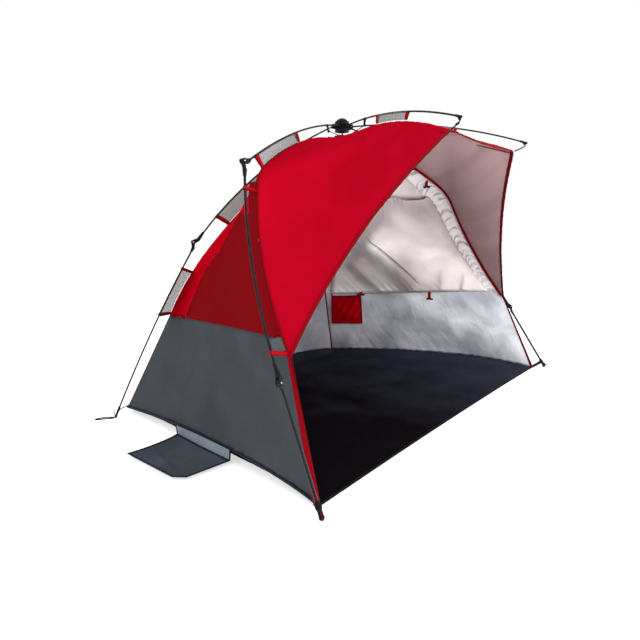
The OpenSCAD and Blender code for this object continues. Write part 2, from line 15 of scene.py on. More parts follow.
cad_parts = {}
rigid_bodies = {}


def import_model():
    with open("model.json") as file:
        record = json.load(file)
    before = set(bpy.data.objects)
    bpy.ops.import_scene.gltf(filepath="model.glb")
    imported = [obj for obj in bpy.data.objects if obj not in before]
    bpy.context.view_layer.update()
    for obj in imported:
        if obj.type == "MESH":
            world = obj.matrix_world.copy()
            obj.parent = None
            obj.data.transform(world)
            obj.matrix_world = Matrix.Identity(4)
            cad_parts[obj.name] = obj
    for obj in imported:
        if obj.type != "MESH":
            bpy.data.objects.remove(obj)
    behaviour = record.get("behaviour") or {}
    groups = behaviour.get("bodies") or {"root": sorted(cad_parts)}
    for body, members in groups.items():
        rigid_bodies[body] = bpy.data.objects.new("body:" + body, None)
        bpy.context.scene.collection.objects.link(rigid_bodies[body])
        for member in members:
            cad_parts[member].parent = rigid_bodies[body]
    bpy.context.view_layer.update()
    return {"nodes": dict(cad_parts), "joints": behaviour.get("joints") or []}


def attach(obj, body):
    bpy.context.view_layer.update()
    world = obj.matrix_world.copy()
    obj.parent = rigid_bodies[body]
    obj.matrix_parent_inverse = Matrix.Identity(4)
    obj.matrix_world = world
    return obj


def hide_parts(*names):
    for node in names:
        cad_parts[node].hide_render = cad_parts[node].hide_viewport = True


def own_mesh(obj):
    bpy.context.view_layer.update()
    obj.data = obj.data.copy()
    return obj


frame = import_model()

# ---- Driving values ----
SIDES = ("left", "right")
SHELL_MIDDLE = np.array((0, 0, 0.45))
UP = np.array((0.0, 0, 1))

# Corners of the cloth, right side
CROWN_Z = 1.226
CANOPY_CORNER = (0.794, 1.166)
FRONT_SHOULDER = np.array((0.837, -0.193, 1.011))
REAR_SHOULDER = np.array((0.512, 0.405, 0.712))
WING_FOOT = np.array((1.024, -0.479, 0.411))
FLOOR_FRONT = np.array((1.099, -0.64, 0.003))
FLOOR_REAR = np.array((0.824, 0.61, 0.018))
BAND_REAR = np.array((0.63, 0.531, 0.421))

# Shares of the ridges, and how far each ridge and seam bows
START_SHARE = 0.06
SHOULDER_SHARE = 0.4
BAND_SHARE = 0.75
WING_SHOULDER_SHARE = 0.62
SEAM_BAND_SHARE = 0.9
WALL_START_SHARE = START_SHARE * SHOULDER_SHARE / WING_SHOULDER_SHARE
AWNING_RIDGE_BOW = 0.06
FRONT_RIDGE_BOW = 0.058
REAR_RIDGE_BOW = 0.078
SEAM_SWELL = np.array((0.016, 0.034, 0))
REAR_SWELL = np.array((0.008, 0.006, 0.004))
SIDE_SAG = 0.025
CANOPY_SAG = 0.018
EDGE_CUT = 0.048
HEM_RISE = 0.042
SHOULDER_ROUNDING = 0.1

# Poles: azimuth from -Y, far end as (radius, height), and bow over the chord
ARM_PIVOT = (0.045, 1.292)
AWNING_AZ = 27.4
POLES = {
    "awning": (AWNING_AZ, (0.8435, 1.204), 0.037),
    "front": (76, (0.975, 1.026), 0.038),
    "rear": (122, (0.709, 0.751), 0.054),
}
LEG_END = (1.079, 0.006)
LEG_BOW = 0.013
KNEE = np.array((1.088, -0.494, 0.351))
FRONT_FOOT = np.array((1.158, -0.693, 0.009))

# Thicknesses, how far off its cloth a tape lies, and how far off the ground the floor does
CLOTH_T = 0.0012
MESH_T = 0.0006
TAPE_T = 0.0016
BINDING_T = 0.0026
THICK_BINDING_T = 0.003
TAPE_LIFT = 0.0012
GROUND_GAP = 0.003


# ---- Vectors, curves and surfaces ----
def even(count):
    """Shares from 0 to 1 in even steps."""
    return np.linspace(0, 1, count)


def lerp(a, b, t):
    a, b = np.asarray(a, float), np.asarray(b, float)
    return a + (b - a) * np.asarray(t, float)[..., None]


def unit(v):
    return v / np.maximum(np.linalg.norm(v, axis=-1, keepdims=True), 1e-12)


def arch(v):
    return 4 * v * (1 - v)


def smooth(x):
    x = np.clip(x, 0, 1)
    return x * x * (3 - 2 * x)


def mirrored(points):
    return points * np.array((-1.0, 1, 1))


def placed(points, name):
    """Everything is shaped for the right side: a piece with a name that ends in _left is mirrored."""
    return mirrored(points) if name.endswith("_left") else points


def circle(turns, x, y):
    """Points of the unit circle at those turns, in the plane of the directions x and y."""
    return np.cos(turns)[:, None] * x + np.sin(turns)[:, None] * y


def in_space(azimuth, plane_points):
    """Points of the vertical plane of an azimuth, given as (radius, height), in space."""
    a = math.radians(azimuth)
    r, z = plane_points[..., 0], plane_points[..., 1]
    return np.stack((r * math.sin(a), -r * math.cos(a), z), -1)


def arc(p, q, bow, t):
    """Points at shares t of the arc from p to q that bows to the left of its chord."""
    p, q = np.array(p, float), np.array(q, float)
    chord = np.linalg.norm(q - p)
    radius = (chord**2 / 4 + bow**2) / (2 * bow)
    half = math.asin(chord / 2 / radius)
    slope = math.atan2(q[1] - p[1], q[0] - p[0])
    left = np.array((-(q - p)[1], (q - p)[0])) / chord
    turn = slope + half * (1 - 2 * t) + math.pi / 2
    return (p + q) / 2 + left * (bow - radius) + radius * np.stack((np.cos(turn), np.sin(turn)), -1)


def inward(p):
    return unit(SHELL_MIDDLE - p)


def bent_line(shoulder, bow, foot, swell, s):
    """The line over an arm from the crown to its shoulder, at s from 0 to 1, and on to a foot, to 2.

    Its corner at the shoulder is rounded."""
    def before(x):
        return lerp((0, 0, CROWN_Z), shoulder, x) + bow * arch(x)[..., None] * UP

    def after(x):
        return lerp(shoulder, foot, x) + arch(x)[..., None] * swell

    a = SHOULDER_ROUNDING
    w = np.clip(0.5 + 0.5 * (s - 1) / a, 0, 1)[..., None]
    first, corner, last = (f(np.full_like(s, x)) for f, x in ((before, 1 - a), (before, 1), (after, a)))
    bend = (1 - w) ** 2 * first + 2 * w * (1 - w) * corner + w**2 * last
    straight = np.where((s < 1)[..., None], before(np.minimum(s, 1)), after(np.maximum(s - 1, 0)))
    return np.where((np.abs(s - 1) < a)[..., None], bend, straight)


def front_line(s):
    """The edge of canopy and wall: down the front arm to the shoulder (1), then to the wing's foot (2)."""
    return bent_line(FRONT_SHOULDER, FRONT_RIDGE_BOW, WING_FOOT, SEAM_SWELL, s)


def rear_line(s):
    """The corner of the shell over the rear arm to the shoulder (1), then down to the band (2)."""
    return bent_line(REAR_SHOULDER, REAR_RIDGE_BOW, BAND_REAR, REAR_SWELL, s)


def down_band(t):
    """How far down the wall's lower band t is, 0 to 1."""
    return np.clip((t - BAND_SHARE) / (1 - BAND_SHARE), 0, 1)


def wall_ridge(line, band_at, foot, t):
    """A wall's edge: the bent line down to the band, and then straight to the foot."""
    upper = t / SHOULDER_SHARE
    middle = 1 + band_at * (t - SHOULDER_SHARE) / (BAND_SHARE - SHOULDER_SHARE)
    above = line(np.where(t < SHOULDER_SHARE, upper, np.minimum(middle, 1 + band_at)))
    band = line(np.full_like(t, 1 + band_at))
    return np.where((t < BAND_SHARE)[..., None], above, band + (foot - band) * down_band(t)[..., None])


def front_ridge(t):
    """The side wall's front edge: down the seam past the band to the wing's foot, and then to the floor."""
    band_top = front_line(np.full_like(t, 1 + SEAM_BAND_SHARE))
    at_foot = (band_top[..., 2:] - WING_FOOT[2]) / (band_top[..., 2:] - FLOOR_FRONT[2])
    below = down_band(t)[..., None]
    to_foot = band_top + (WING_FOOT - band_top) * np.clip(below / at_foot, 0, 1)
    to_floor = (FLOOR_FRONT - WING_FOOT) * np.clip((below - at_foot) / (1 - at_foot), 0, 1)
    above = wall_ridge(front_line, SEAM_BAND_SHARE, FLOOR_FRONT, t)
    return np.where((t < BAND_SHARE)[..., None], above, to_foot + to_floor)


def rear_ridge(t):
    return wall_ridge(rear_line, 1, FLOOR_REAR, t)


def awning_ridge(t):
    return in_space(AWNING_AZ, arc((0, CROWN_Z), CANOPY_CORNER, AWNING_RIDGE_BOW, t))


def wing_ridge(t):
    below = (t - 2 * WING_SHOULDER_SHARE + 1) / (1 - WING_SHOULDER_SHARE)
    return front_line(np.where(t < WING_SHOULDER_SHARE, t / WING_SHOULDER_SHARE, below))


def sag(p, v, t, depth):
    return (arch(v) * depth * np.sin(math.pi * t))[..., None] * inward(p)


def hem_lift(t, v):
    return (HEM_RISE * arch(np.clip(v, 0, 1) ** 0.8) * down_band(t) ** 2)[..., None] * UP


CORNER_IN_SPACE = in_space(AWNING_AZ, np.array(CANOPY_CORNER))
EDGE_PULL = unit(FRONT_SHOULDER - (CORNER_IN_SPACE + WING_FOOT) / 2)


def wing_at(t, v):
    p = lerp(awning_ridge(t), wing_ridge(t), v)
    return p + (arch(v) * EDGE_CUT * t**3)[..., None] * EDGE_PULL + sag(p, v, t, CANOPY_SAG)


def roof_at(t, v):
    p = lerp(mirrored(awning_ridge(t)), awning_ridge(t), v)
    return p + (arch(v) * CANOPY_SAG * (1 - 0.5 * t))[..., None] * inward(p)


def side_at(t, v):
    p = lerp(front_ridge(t), rear_ridge(t), v)
    return p + sag(p, v, t, SIDE_SAG) + hem_lift(t, v)


def rear_at(t, v):
    p = lerp(rear_ridge(t), mirrored(rear_ridge(t)), v)
    return p + sag(p, v, t, SIDE_SAG) + hem_lift(t, v)


def grid_of(surface, shares, across):
    """The surface's points at every pair of the shares down and across."""
    t, v = np.meshgrid(shares, across, indexing="ij")
    return surface(t, v)


# ---- Wrinkles ----
def noise_at(points, size, seed=0.0):
    """Smooth noise from -1 to 1 with bumps about that size."""
    flat = points.reshape(-1, 3) / size + seed
    return np.array([noise.noise(Vector(p)) for p in flat]).reshape(points.shape[:-1])


def grid_normals(points):
    """Unit normals of a grid of points that face away from the middle of the shell."""
    down, across = np.gradient(points, axis=0), np.gradient(points, axis=1)
    n = unit(np.cross(down, across))
    facing = np.sign((n * -inward(points)).sum(-1, keepdims=True))
    return n * np.where(facing == 0, 1, facing)


def raised(points, height):
    return points + grid_normals(points) * height[..., None]


def along(points, axis):
    """Distance along the grid's rows or columns, in metres."""
    step = np.linalg.norm(np.diff(points, axis=axis), axis=-1)
    start = np.zeros_like(np.take(step, [0], axis))
    return np.concatenate((start, np.cumsum(step, axis)), axis)


def edge_distances(points):
    """How far each point of a grid is from its first row, last row, first column and nearer side."""
    down, across = along(points, 0), along(points, 1)
    return down, down[-1:] - down, across, np.minimum(across, across[:, -1:] - across)


def puckers(distance, run, wave, reach, seed):
    """Gathers along a sewn line: waves along the run that die out with distance from the line."""
    places = (run / wave / 2.5).ravel()
    drift = np.array([noise.noise(Vector((x, seed, 0))) for x in places]).reshape(run.shape)
    return np.sin(2 * math.pi * run / wave + 5 * drift) * np.exp(-distance / reach) * (0.7 + 0.6 * drift)


def fold(points, a, b, height, near, far):
    """A soft fold along the line from point a to point b, with its own width on either side."""
    line = b - a
    length = np.linalg.norm(line)
    s = ((points - a) @ line) / length**2
    side = np.cross(points - a, line / length)
    d = np.linalg.norm(side, axis=-1) * np.sign((side * inward(points)).sum(-1))
    width = np.where(d > 0, near, far)
    ends = smooth(s / 0.18) * smooth((1 - s) / 0.3)
    return height * np.exp(-((d / width) ** 2)) * ends


# ---- Meshes ----
def linked(name, data):
    made = bpy.data.objects.new(name, data)
    bpy.context.scene.collection.objects.link(made)
    return made


def mesh_object(name, vertices, faces, uv=None):
    mesh = bpy.data.meshes.new(name)
    points = [tuple(p) for p in np.asarray(vertices, float)]
    mesh.from_pydata(points, [], [tuple(map(int, f)) for f in faces])
    if uv is not None:
        layer = mesh.uv_layers.new(name="Cut")
        corners = np.zeros(len(mesh.loops), int)
        mesh.loops.foreach_get("vertex_index", corners)
        layer.data.foreach_set("uv", np.asarray(uv, float)[corners].ravel())
    mesh.polygons.foreach_set("use_smooth", [True] * len(mesh.polygons))
    mesh.validate()
    return linked(name, mesh)


def grid_faces(rows, cols, keep=None):
    i, j = np.meshgrid(np.arange(rows - 1), np.arange(cols - 1), indexing="ij")
    a = i * cols + j
    quads = np.stack((a, a + 1, a + cols + 1, a + cols), -1)
    return quads[keep] if keep is not None else quads.reshape(-1, 4)


def cloth(name, points, outside, inside=None, keep=None, thickness=CLOTH_T, up=None):
    """A sheet of cloth over a grid of points, with its own finish outside and inside.

    Outside is away from the middle of the shell, or the way that up points."""
    points = placed(points, name)
    faces = grid_faces(*points.shape[:2], keep)
    uv = np.stack((along(points, 1), along(points, 0)), -1).reshape(-1, 2)
    flat = points.reshape(-1, 3)
    a, b, c = (flat[faces[:, k]] for k in range(3))
    normals = np.cross(b - a, c - a)
    outward = -inward(a) if up is None else np.broadcast_to(np.array(up, float), a.shape)
    if (normals * outward).sum() < 0:
        faces = faces[:, ::-1]
    made = mesh_object(name, flat, faces, uv)
    made.data.materials.append(outside)
    made.data.materials.append(inside or outside)
    solid = made.modifiers.new("Thickness", "SOLIDIFY")
    solid.thickness = thickness
    solid.offset = -1
    solid.material_offset = 1
    solid.material_offset_rim = 0
    return made


def loft(name, rings, material, uv_width=None):
    """A closed solid through rings of points, with its ends capped."""
    n, m = rings.shape[:2]
    faces = []
    for i in range(n - 1):
        for j in range(m):
            k = (j + 1) % m
            faces.append((i * m + j, i * m + k, (i + 1) * m + k, (i + 1) * m + j))
    faces.append(tuple(range(m - 1, -1, -1)))
    faces.append(tuple((n - 1) * m + j for j in range(m)))
    run = along(rings, 0)[:, :1].repeat(m, 1)
    width = np.broadcast_to(np.arange(m) / m if uv_width is None else uv_width, (n, m))
    made = mesh_object(name, rings.reshape(-1, 3), faces, np.stack((run, width), -1).reshape(-1, 2))
    made.data.materials.append(material)
    return made


# Outline of a tape: (share of its width, share of its thickness)
TAPE_HALF = [(-0.5, -0.25), (-0.45, -0.5), (0.45, -0.5), (0.5, -0.25)]
TAPE_OUTLINE = TAPE_HALF + [(-x, -y) for x, y in TAPE_HALF]


def flat_band(name, line, across, out, width, material, thick=TAPE_T, shift=0.0):
    """A flat band along a line, left where it is: see tape."""
    across, out = (unit(np.broadcast_to(way, line.shape)) for way in (across, out))
    widths = np.broadcast_to(width, len(line))[:, None]
    rings = np.stack([line + across * (x * widths + shift) + out * y * thick for x, y in TAPE_OUTLINE], 1)
    return loft(name, rings, material, np.array([x for x, _ in TAPE_OUTLINE]) * float(np.max(width)))


def tape(name, line, across, out, *rest, **more):
    """A flat band of webbing or binding along a line.

    across is the way its width runs, and out its upper face. Each is one direction or one for each
    point of the line, and so is the width."""
    line, across, out = (placed(np.asarray(way, float), name) for way in (line, across, out))
    return flat_band(name, line, across, out, *rest, **more)


def tube(name, line, radius, material, sides=10):
    """A round cord or wire along a line."""
    line = placed(line, name)
    tangents = unit(np.gradient(line, axis=0))
    side = np.cross(tangents[0], UP)
    side = unit(side if np.linalg.norm(side) > 0.1 else np.cross(tangents[0], (0.0, 1, 0)))
    turns = 2 * math.pi * np.arange(sides) / sides
    rings = []
    for p, d in zip(line, tangents):
        side = unit(side - d * (side @ d))
        rings.append(p + radius * circle(turns, side, np.cross(d, side)))
    return loft(name, np.array(rings), material)


def lathe(name, profile, at, axis, material, sides):
    """A turned part: profile holds (radius, distance along the axis)."""
    at, axis = placed(at, name), placed(unit(axis), name)
    x = unit(np.cross(axis, UP if abs(axis[2]) < 0.9 else (1.0, 0, 0)))
    ring = circle(2 * math.pi * np.arange(sides) / sides, x, np.cross(axis, x))
    return loft(name, np.array([at + r * ring + d * axis for r, d in profile]), material)


def curved(points, steps):
    """A smooth line through given points."""
    points = np.array(points, float)
    knots = even(len(points))
    s = even(steps)
    line = np.stack([np.interp(s, knots, points[:, k]) for k in range(3)], -1)
    for _ in range(max(2, steps // len(points))):
        line[1:-1] = (line[:-2] + 2 * line[1:-1] + line[2:]) / 4
    return line


def join(name, parts):
    """One piece from several, keeping their materials."""
    bpy.ops.object.select_all(action="DESELECT")
    for part in parts:
        part.select_set(True)
    bpy.context.view_layer.objects.active = parts[0]
    bpy.ops.object.join()
    parts[0].name = parts[0].data.name = name
    return parts[0]


# ---- Riding and sides ----
def on_shell(slot, *pieces, body="root"):
    """The pieces ride on a body of the frame, each with a mesh of its own."""
    for piece in pieces:
        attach(piece, body)
        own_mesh(piece)


def on_both_sides(*makers):
    """Call each maker for the left side, and then each for the right."""
    for side in SIDES:
        for make in makers:
            make(side)


# ---- Camera ----
CAMERA_AT = (-2.446, -1.593, 0.810)
CAMERA_TURN = (81.388, 0, -54.883)
CAMERA_LENS = 33.41


def add_camera():
    data = bpy.data.cameras.new("camera")
    data.lens = CAMERA_LENS
    camera = linked("camera", data)
    camera.location = CAMERA_AT
    camera.rotation_euler = [math.radians(turn) for turn in CAMERA_TURN]
    bpy.context.scene.camera = camera


add_camera()


# ---- Finishes ----
def colour(red, green, blue):
    """A screen colour, 0 to 255, as the shader's linear colour."""
    shares = (red / 255, green / 255, blue / 255)
    return tuple(c / 12.92 if c <= 0.04045 else ((c + 0.055) / 1.055) ** 2.4 for c in shares) + (1,)


THREAD_SCALE = 420
# Stitches of a tape: how far from its middle, how thick, and how many radians a metre
STITCH_LINE = 0.004
STITCH_T = 0.0006
STITCH_RATE = 1800


class Finish:
    """A material whose node tree is built up by short calls."""

    def __init__(self, name, roughness=0.5, metallic=0.0, use_uv=True):
        self.material = bpy.data.materials.new(name)
        self.material.use_nodes = True
        self.tree = self.material.node_tree
        self.shader = self.tree.nodes["Principled BSDF"]
        self.shader.inputs["Roughness"].default_value = roughness
        self.shader.inputs["Metallic"].default_value = metallic
        self.place = self.node("ShaderNodeTexCoord").outputs["UV" if use_uv else "Object"]
        self.normal = None

    def node(self, kind, sockets=None, **values):
        """A new node. sockets holds what each named input is set to or linked from."""
        made = self.tree.nodes.new(kind)
        for name, value in values.items():
            setattr(made, name, value)
        for name, value in (sockets or {}).items():
            self.feed(made.inputs[name], value)
        return made

    def feed(self, socket, value):
        if isinstance(value, bpy.types.NodeSocket):
            self.tree.links.new(value, socket)
        else:
            socket.default_value = value

    def math(self, operation, a, b=0.0):
        made = self.node("ShaderNodeMath", operation=operation)
        for socket, value in zip(made.inputs, (a, b)):
            self.feed(socket, value)
        return made.outputs[0]

    def split(self):
        """The x and y of the place on the cloth."""
        made = self.node("ShaderNodeSeparateXYZ", {"Vector": self.place})
        return made.outputs["X"], made.outputs["Y"]

    def noise(self, scale, detail=2.0, stretch=(1, 1, 1), distortion=0.0):
        place = self.node("ShaderNodeMapping", {"Scale": stretch, "Vector": self.place}).outputs[0]
        values = {"Scale": scale, "Detail": detail, "Distortion": distortion, "Vector": place}
        return self.node("ShaderNodeTexNoise", values).outputs["Fac"]

    def threads(self, scale, direction="X"):
        values = {"Scale": scale, "Vector": self.place}
        return self.node("ShaderNodeTexWave", values, bands_direction=direction).outputs["Fac"]

    def weave(self, scale):
        return self.math("MULTIPLY", self.threads(scale, "X"), self.threads(scale, "Y"))

    def tones(self, factor, stops):
        """Base colour from a factor: stops hold (position, screen colour)."""
        ramp = self.node("ShaderNodeValToRGB", {"Fac": factor})
        elements = ramp.color_ramp.elements
        while len(elements) < len(stops):
            elements.new(0.5)
        for element, (position, value) in zip(elements, stops):
            element.position = position
            element.color = colour(*value)
        self.feed(self.shader.inputs["Base Color"], ramp.outputs["Color"])

    def bump(self, height, distance, strength=1.0):
        values = {"Distance": distance, "Strength": strength, "Height": height}
        if self.normal is not None:
            values["Normal"] = self.normal
        self.normal = self.node("ShaderNodeBump", values).outputs["Normal"]
        self.feed(self.shader.inputs["Normal"], self.normal)

    def woven(self):
        """The finished material of a cloth, with a fine weave."""
        self.bump(self.weave(THREAD_SCALE), 0.0002, 0.25)
        return self.made(Specular_IOR_Level=0.0)

    def made(self, **values):
        """The finished material, after the shader's last values are set."""
        for name, value in values.items():
            self.feed(self.shader.inputs[name.replace("_", " ")], value)
        return self.material


def cloth_finish(name, light, dark, roughness=0.6, crinkle=0.4, blotch=5.0):
    """Thin woven cloth: broad tone changes, short crinkles and a fine weave."""
    made = Finish(name, roughness)
    made.tones(made.noise(blotch, 3.0, distortion=0.4), [(0.36, dark), (0.62, light)])
    made.bump(made.noise(22, 4.0, (1, 0.5, 1), 0.6), 0.006, crinkle)
    return made.woven()


def webbing_finish(name, body, thread):
    """Woven tape: cross ribs, and a line of stitches near each edge."""
    made = Finish(name, 0.7)
    x, y = made.split()
    off_line = made.math("ABSOLUTE", made.math("SUBTRACT", made.math("ABSOLUTE", y), STITCH_LINE))
    on_line = made.math("LESS_THAN", off_line, STITCH_T)
    dash = made.math("GREATER_THAN", made.math("SINE", made.math("MULTIPLY", x, STITCH_RATE)), -0.3)
    stitch = made.math("MULTIPLY", on_line, dash)
    made.tones(stitch, [(0.0, body), (1.0, thread)])
    made.bump(made.threads(260, "X"), 0.0003, 0.5)
    made.bump(made.noise(60, 3.0), 0.0015, 0.3)
    return made.made(Specular_IOR_Level=0.05)


def moulded_finish(name, base, worn, roughness=0.42, grain=900):
    """Moulded plastic or rubber with a fine grain and lighter wear."""
    made = Finish(name, roughness, use_uv=False)
    made.tones(made.noise(45, 4.0), [(0.45, base), (0.75, worn)])
    made.bump(made.noise(grain, 2.0), 0.0002, 0.35)
    return made.made(Specular_IOR_Level=0.12)


def braided_finish(name):
    """Tube with a braid of dark and lighter strands."""
    made = Finish(name, 0.32, use_uv=False)
    braid = made.math("MULTIPLY", made.threads(70, "DIAGONAL"), made.threads(95, "Z"))
    made.tones(braid, [(0.2, (16, 16, 18)), (0.9, (50, 50, 54))])
    made.bump(braid, 0.0003, 0.4)
    return made.made(Specular_IOR_Level=0.2)


def metal_finish(name, tone, roughness):
    made = Finish(name, roughness, 1.0, use_uv=False)
    made.tones(made.noise(300, 2.0, (1, 1, 12)), [(0.3, tone), (0.7, (225, 225, 228))])
    made.bump(made.noise(700, 2.0, (1, 1, 10)), 0.0001, 0.2)
    return made.made()


def gathered_finish(name, light, dark):
    """Cloth sewn in gathers, with short folds across its strip and painted shade in their valleys."""
    made = Finish(name, 0.6)
    gathers = made.noise(34, 2.0, (0.22, 1, 1), 0.5)
    # Painted shade: the valleys of the gathers get the dark tone and the crests the light one.
    made.tones(gathers, [(0.36, dark), (0.5, light)])
    made.bump(gathers, 0.006, 0.5)
    return made.made(Specular_IOR_Level=0.0)


def floor_finish(name, lighter_tone, dark):
    """Floor cloth that is lighter towards one side, with soft blotches and creases."""
    made = Finish(name, 0.85)
    across = made.math("MULTIPLY", made.split()[0], 0.24)
    blotches = made.math("MULTIPLY", made.noise(3.0, 3.0), 0.4)
    made.tones(made.math("ADD", across, blotches), [(0.36, dark), (0.8, lighter_tone)])
    made.bump(made.noise(9, 4.0, (1, 0.6, 1), 0.8), 0.008, 0.3)
    return made.woven()


FLOOR_CLOTH = floor_finish("floor_cloth", (50, 54, 67), (17, 14, 17))
RED = cloth_finish("red_canopy", (175, 6, 31), (168, 5, 28), 0.8, crinkle=0.08)
RED_WALL = cloth_finish("red_wall", (186, 6, 26), (172, 4, 21), 0.8, crinkle=0.15)
PALE_INSIDE = cloth_finish("coated_wall_inside", (236, 230, 230), (212, 202, 203), 0.6, crinkle=0.15)
# The second tone is painted shade in the folds of the gathered strip.
GATHERED = gathered_finish("gathered_strip", (244, 240, 240), (176, 168, 171))
MAUVE = cloth_finish("coated_canopy_underside", (176, 146, 147), (164, 134, 136), 0.8, crinkle=0.1)
SILVER = cloth_finish("silver_coating", (224, 226, 232), (156, 158, 167), 0.6, 0.6, 3.4)
# Painted shade: a darker copy of the silver coating for the inside of the rear wall, which lies in shade.
REAR_SILVER_SHADED = cloth_finish("rear_coating_painted_shade", (150, 150, 157), (122, 121, 128), 0.6, 0.25, 4.0)
SILVER_FLAP = cloth_finish("silver_flap", (230, 224, 221), (174, 162, 164), 0.6, 0.45, 2.6)
CHARCOAL = cloth_finish("charcoal_wall", (72, 76, 81), (66, 70, 75), 0.8, crinkle=0.12)
SAND_CLOTH = cloth_finish("sand_cloth", (77, 84, 91), (66, 71, 79), 0.8, crinkle=0.2)
STRIP_CLOTH = cloth_finish("strip_cloth", (150, 160, 172), (124, 133, 144), 0.7, crinkle=0.3)
POCKET_CLOTH = cloth_finish("pocket_cloth", (200, 6, 20), (160, 4, 14), 0.8, crinkle=0.2)
# Painted shade: the inside face of the binding, along the canopy's edge and the wall's front edge, is a darker
# copy of the hem tape outside, as it faces away from the light.
BINDING_INSIDE_SHADED = webbing_finish("binding_inside_painted_shade", (88, 4, 10), (120, 20, 28))
RED_TAPE = webbing_finish("red_tape", (162, 3, 18), (116, 3, 14))
HEM_TAPE = webbing_finish("hem_tape", (140, 2, 17), (110, 3, 14))
DARK_RED_TAPE = webbing_finish("dark_red_tape", (120, 2, 12), (96, 2, 10))
NAVY_TAPE = webbing_finish("navy_tape", (34, 36, 52), (52, 55, 70))
SILVER_TAPE = webbing_finish("silver_tape", (214, 212, 214), (186, 184, 188))
BLACK_TAPE = webbing_finish("black_tape", (20, 20, 22), (48, 48, 50))
BLACK_PLASTIC = moulded_finish("black_plastic", (17, 17, 20), (32, 32, 36), 0.55)
POLE_FINISH = moulded_finish("pole_coating", (22, 24, 27), (36, 39, 43), 0.5)
RUBBER = moulded_finish("black_rubber", (20, 20, 22), (34, 34, 36), 0.8, 500)
BRAID = braided_finish("braided_shin")
CHROME = metal_finish("chrome", (190, 190, 194), 0.18)
STEEL = metal_finish("steel", (150, 150, 154), 0.32)


def mesh_finish(name, thread, hole, share, scale):
    """Open netting: threads round darker holes, and what is behind shows through."""
    made = Finish(name, 0.9)
    made.tones(made.weave(scale), [(0.15, thread), (0.7, hole)])
    made.bump(made.weave(scale), 0.0004, 0.4)
    return made.made(Alpha=share, Specular_IOR_Level=0.0)


WINDOW_MESH = mesh_finish("window_netting", (138, 18, 22), (108, 11, 15), 0.8, 90)
SLEEVE_MESH = mesh_finish("sleeve_netting", (158, 164, 164), (94, 98, 98), 0.33, 26)
GUSSET_MESH = mesh_finish("gusset_netting", (84, 87, 92), (58, 60, 64), 0.9, 60)


# ---- Canopy: left wing, roof and right wing in one sheet ----
CANOPY_ROWS = np.linspace(START_SHARE, 1, 84)
WING_COLS = even(58)
ROOF_COLS = even(66)
# Rounds of smoothing on the ridges over the awning poles, which are soft
RIDGE_SOFTENING = 5
CANOPY_HEM_WIDTH = 0.014
CANOPY_BINDING_WIDTH = 0.017
CANOPY_EDGE_SHIFT = -0.0065
# How far from each side edge the wrinkles of a sheet reach full height
CANOPY_CALM = 0.06
BAND_CALM = 0.03
REAR_CALM = 0.04


def canopy_points():
    right = grid_of(wing_at, CANOPY_ROWS, WING_COLS)
    roof = grid_of(roof_at, CANOPY_ROWS, ROOF_COLS)
    points = np.concatenate((mirrored(right)[:, ::-1], roof[:, 1:-1], right), 1)
    ridges = (len(WING_COLS) - 1, len(WING_COLS) + len(ROOF_COLS) - 2)
    for _ in range(RIDGE_SOFTENING):
        rounded = (points[:, :-2] + 2 * points[:, 1:-1] + points[:, 2:]) / 4
        for ridge in ridges:
            near = slice(ridge - 3, ridge + 4)
            points[:, near] = rounded[:, ridge - 4:ridge + 3]
    down, to_edge, across, to_side = edge_distances(points)
    calm = smooth(to_side / CANOPY_CALM)
    height = 0.004 * noise_at(points, 0.22, 3) * calm
    height += 0.0016 * noise_at(points, 0.07, 9) * calm
    height += 0.0022 * puckers(to_edge, across, 0.034, 0.022, 2) * smooth(to_side / 0.02)
    for ridge in ridges:
        apart = np.abs(across - across[:, ridge:ridge + 1])
        height += 0.0016 * puckers(apart, down, 0.05, 0.035, 5)
    return raised(points, height)


def add_canopy():
    points = canopy_points()
    canopy = cloth("canopy", points, RED, MAUVE)
    out = grid_normals(points)
    edge, above = points[-1], points[-3]
    across = edge - above
    place = {"shift": CANOPY_EDGE_SHIFT}
    line = edge + out[-1] * TAPE_LIFT
    hem = tape("canopy_hem", line, across, out[-1], CANOPY_HEM_WIDTH, HEM_TAPE, **place)
    # The binding inside is darker than the hem tape outside: painted shade.
    line = edge - out[-1] * (CLOTH_T + 0.0009)
    width = CANOPY_BINDING_WIDTH
    binding = tape("canopy_binding", line, across, out[-1], width, BINDING_INSIDE_SHADED, THICK_BINDING_T, **place)
    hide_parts("canopy_roof", "wing_left", "wing_right")
    on_shell("canopy_fabric", canopy, hem)
    on_shell("strap_webbing", binding)


# ---- Walls ----
BAND_ROWS = np.linspace(BAND_SHARE, 1, 34)
# Outline of a side wall's mesh window, as (t, v), before its corners are rounded, and a point inside it
WINDOW = [
    (0.475, 0.02), (0.475, 0.13), (0.43, 0.27), (0.43, 0.42), (0.47, 0.57), (0.53, 0.76), (0.62, 0.8),
    (0.7495, 0.84), (0.7495, 0.8), (0.7495, 0.06), (0.7495, 0.02),
]
WINDOW_MIDDLE = (0.6, 0.42)


def chaikin(outline, times):
    """A closed outline with its corners cut, again and again, to a smooth curve."""
    points = np.array(outline, float)
    for _ in range(times):
        following = np.roll(points, -1, 0)
        points = np.stack((0.8 * points + 0.2 * following, 0.2 * points + 0.8 * following), 1).reshape(-1, 2)
    return points


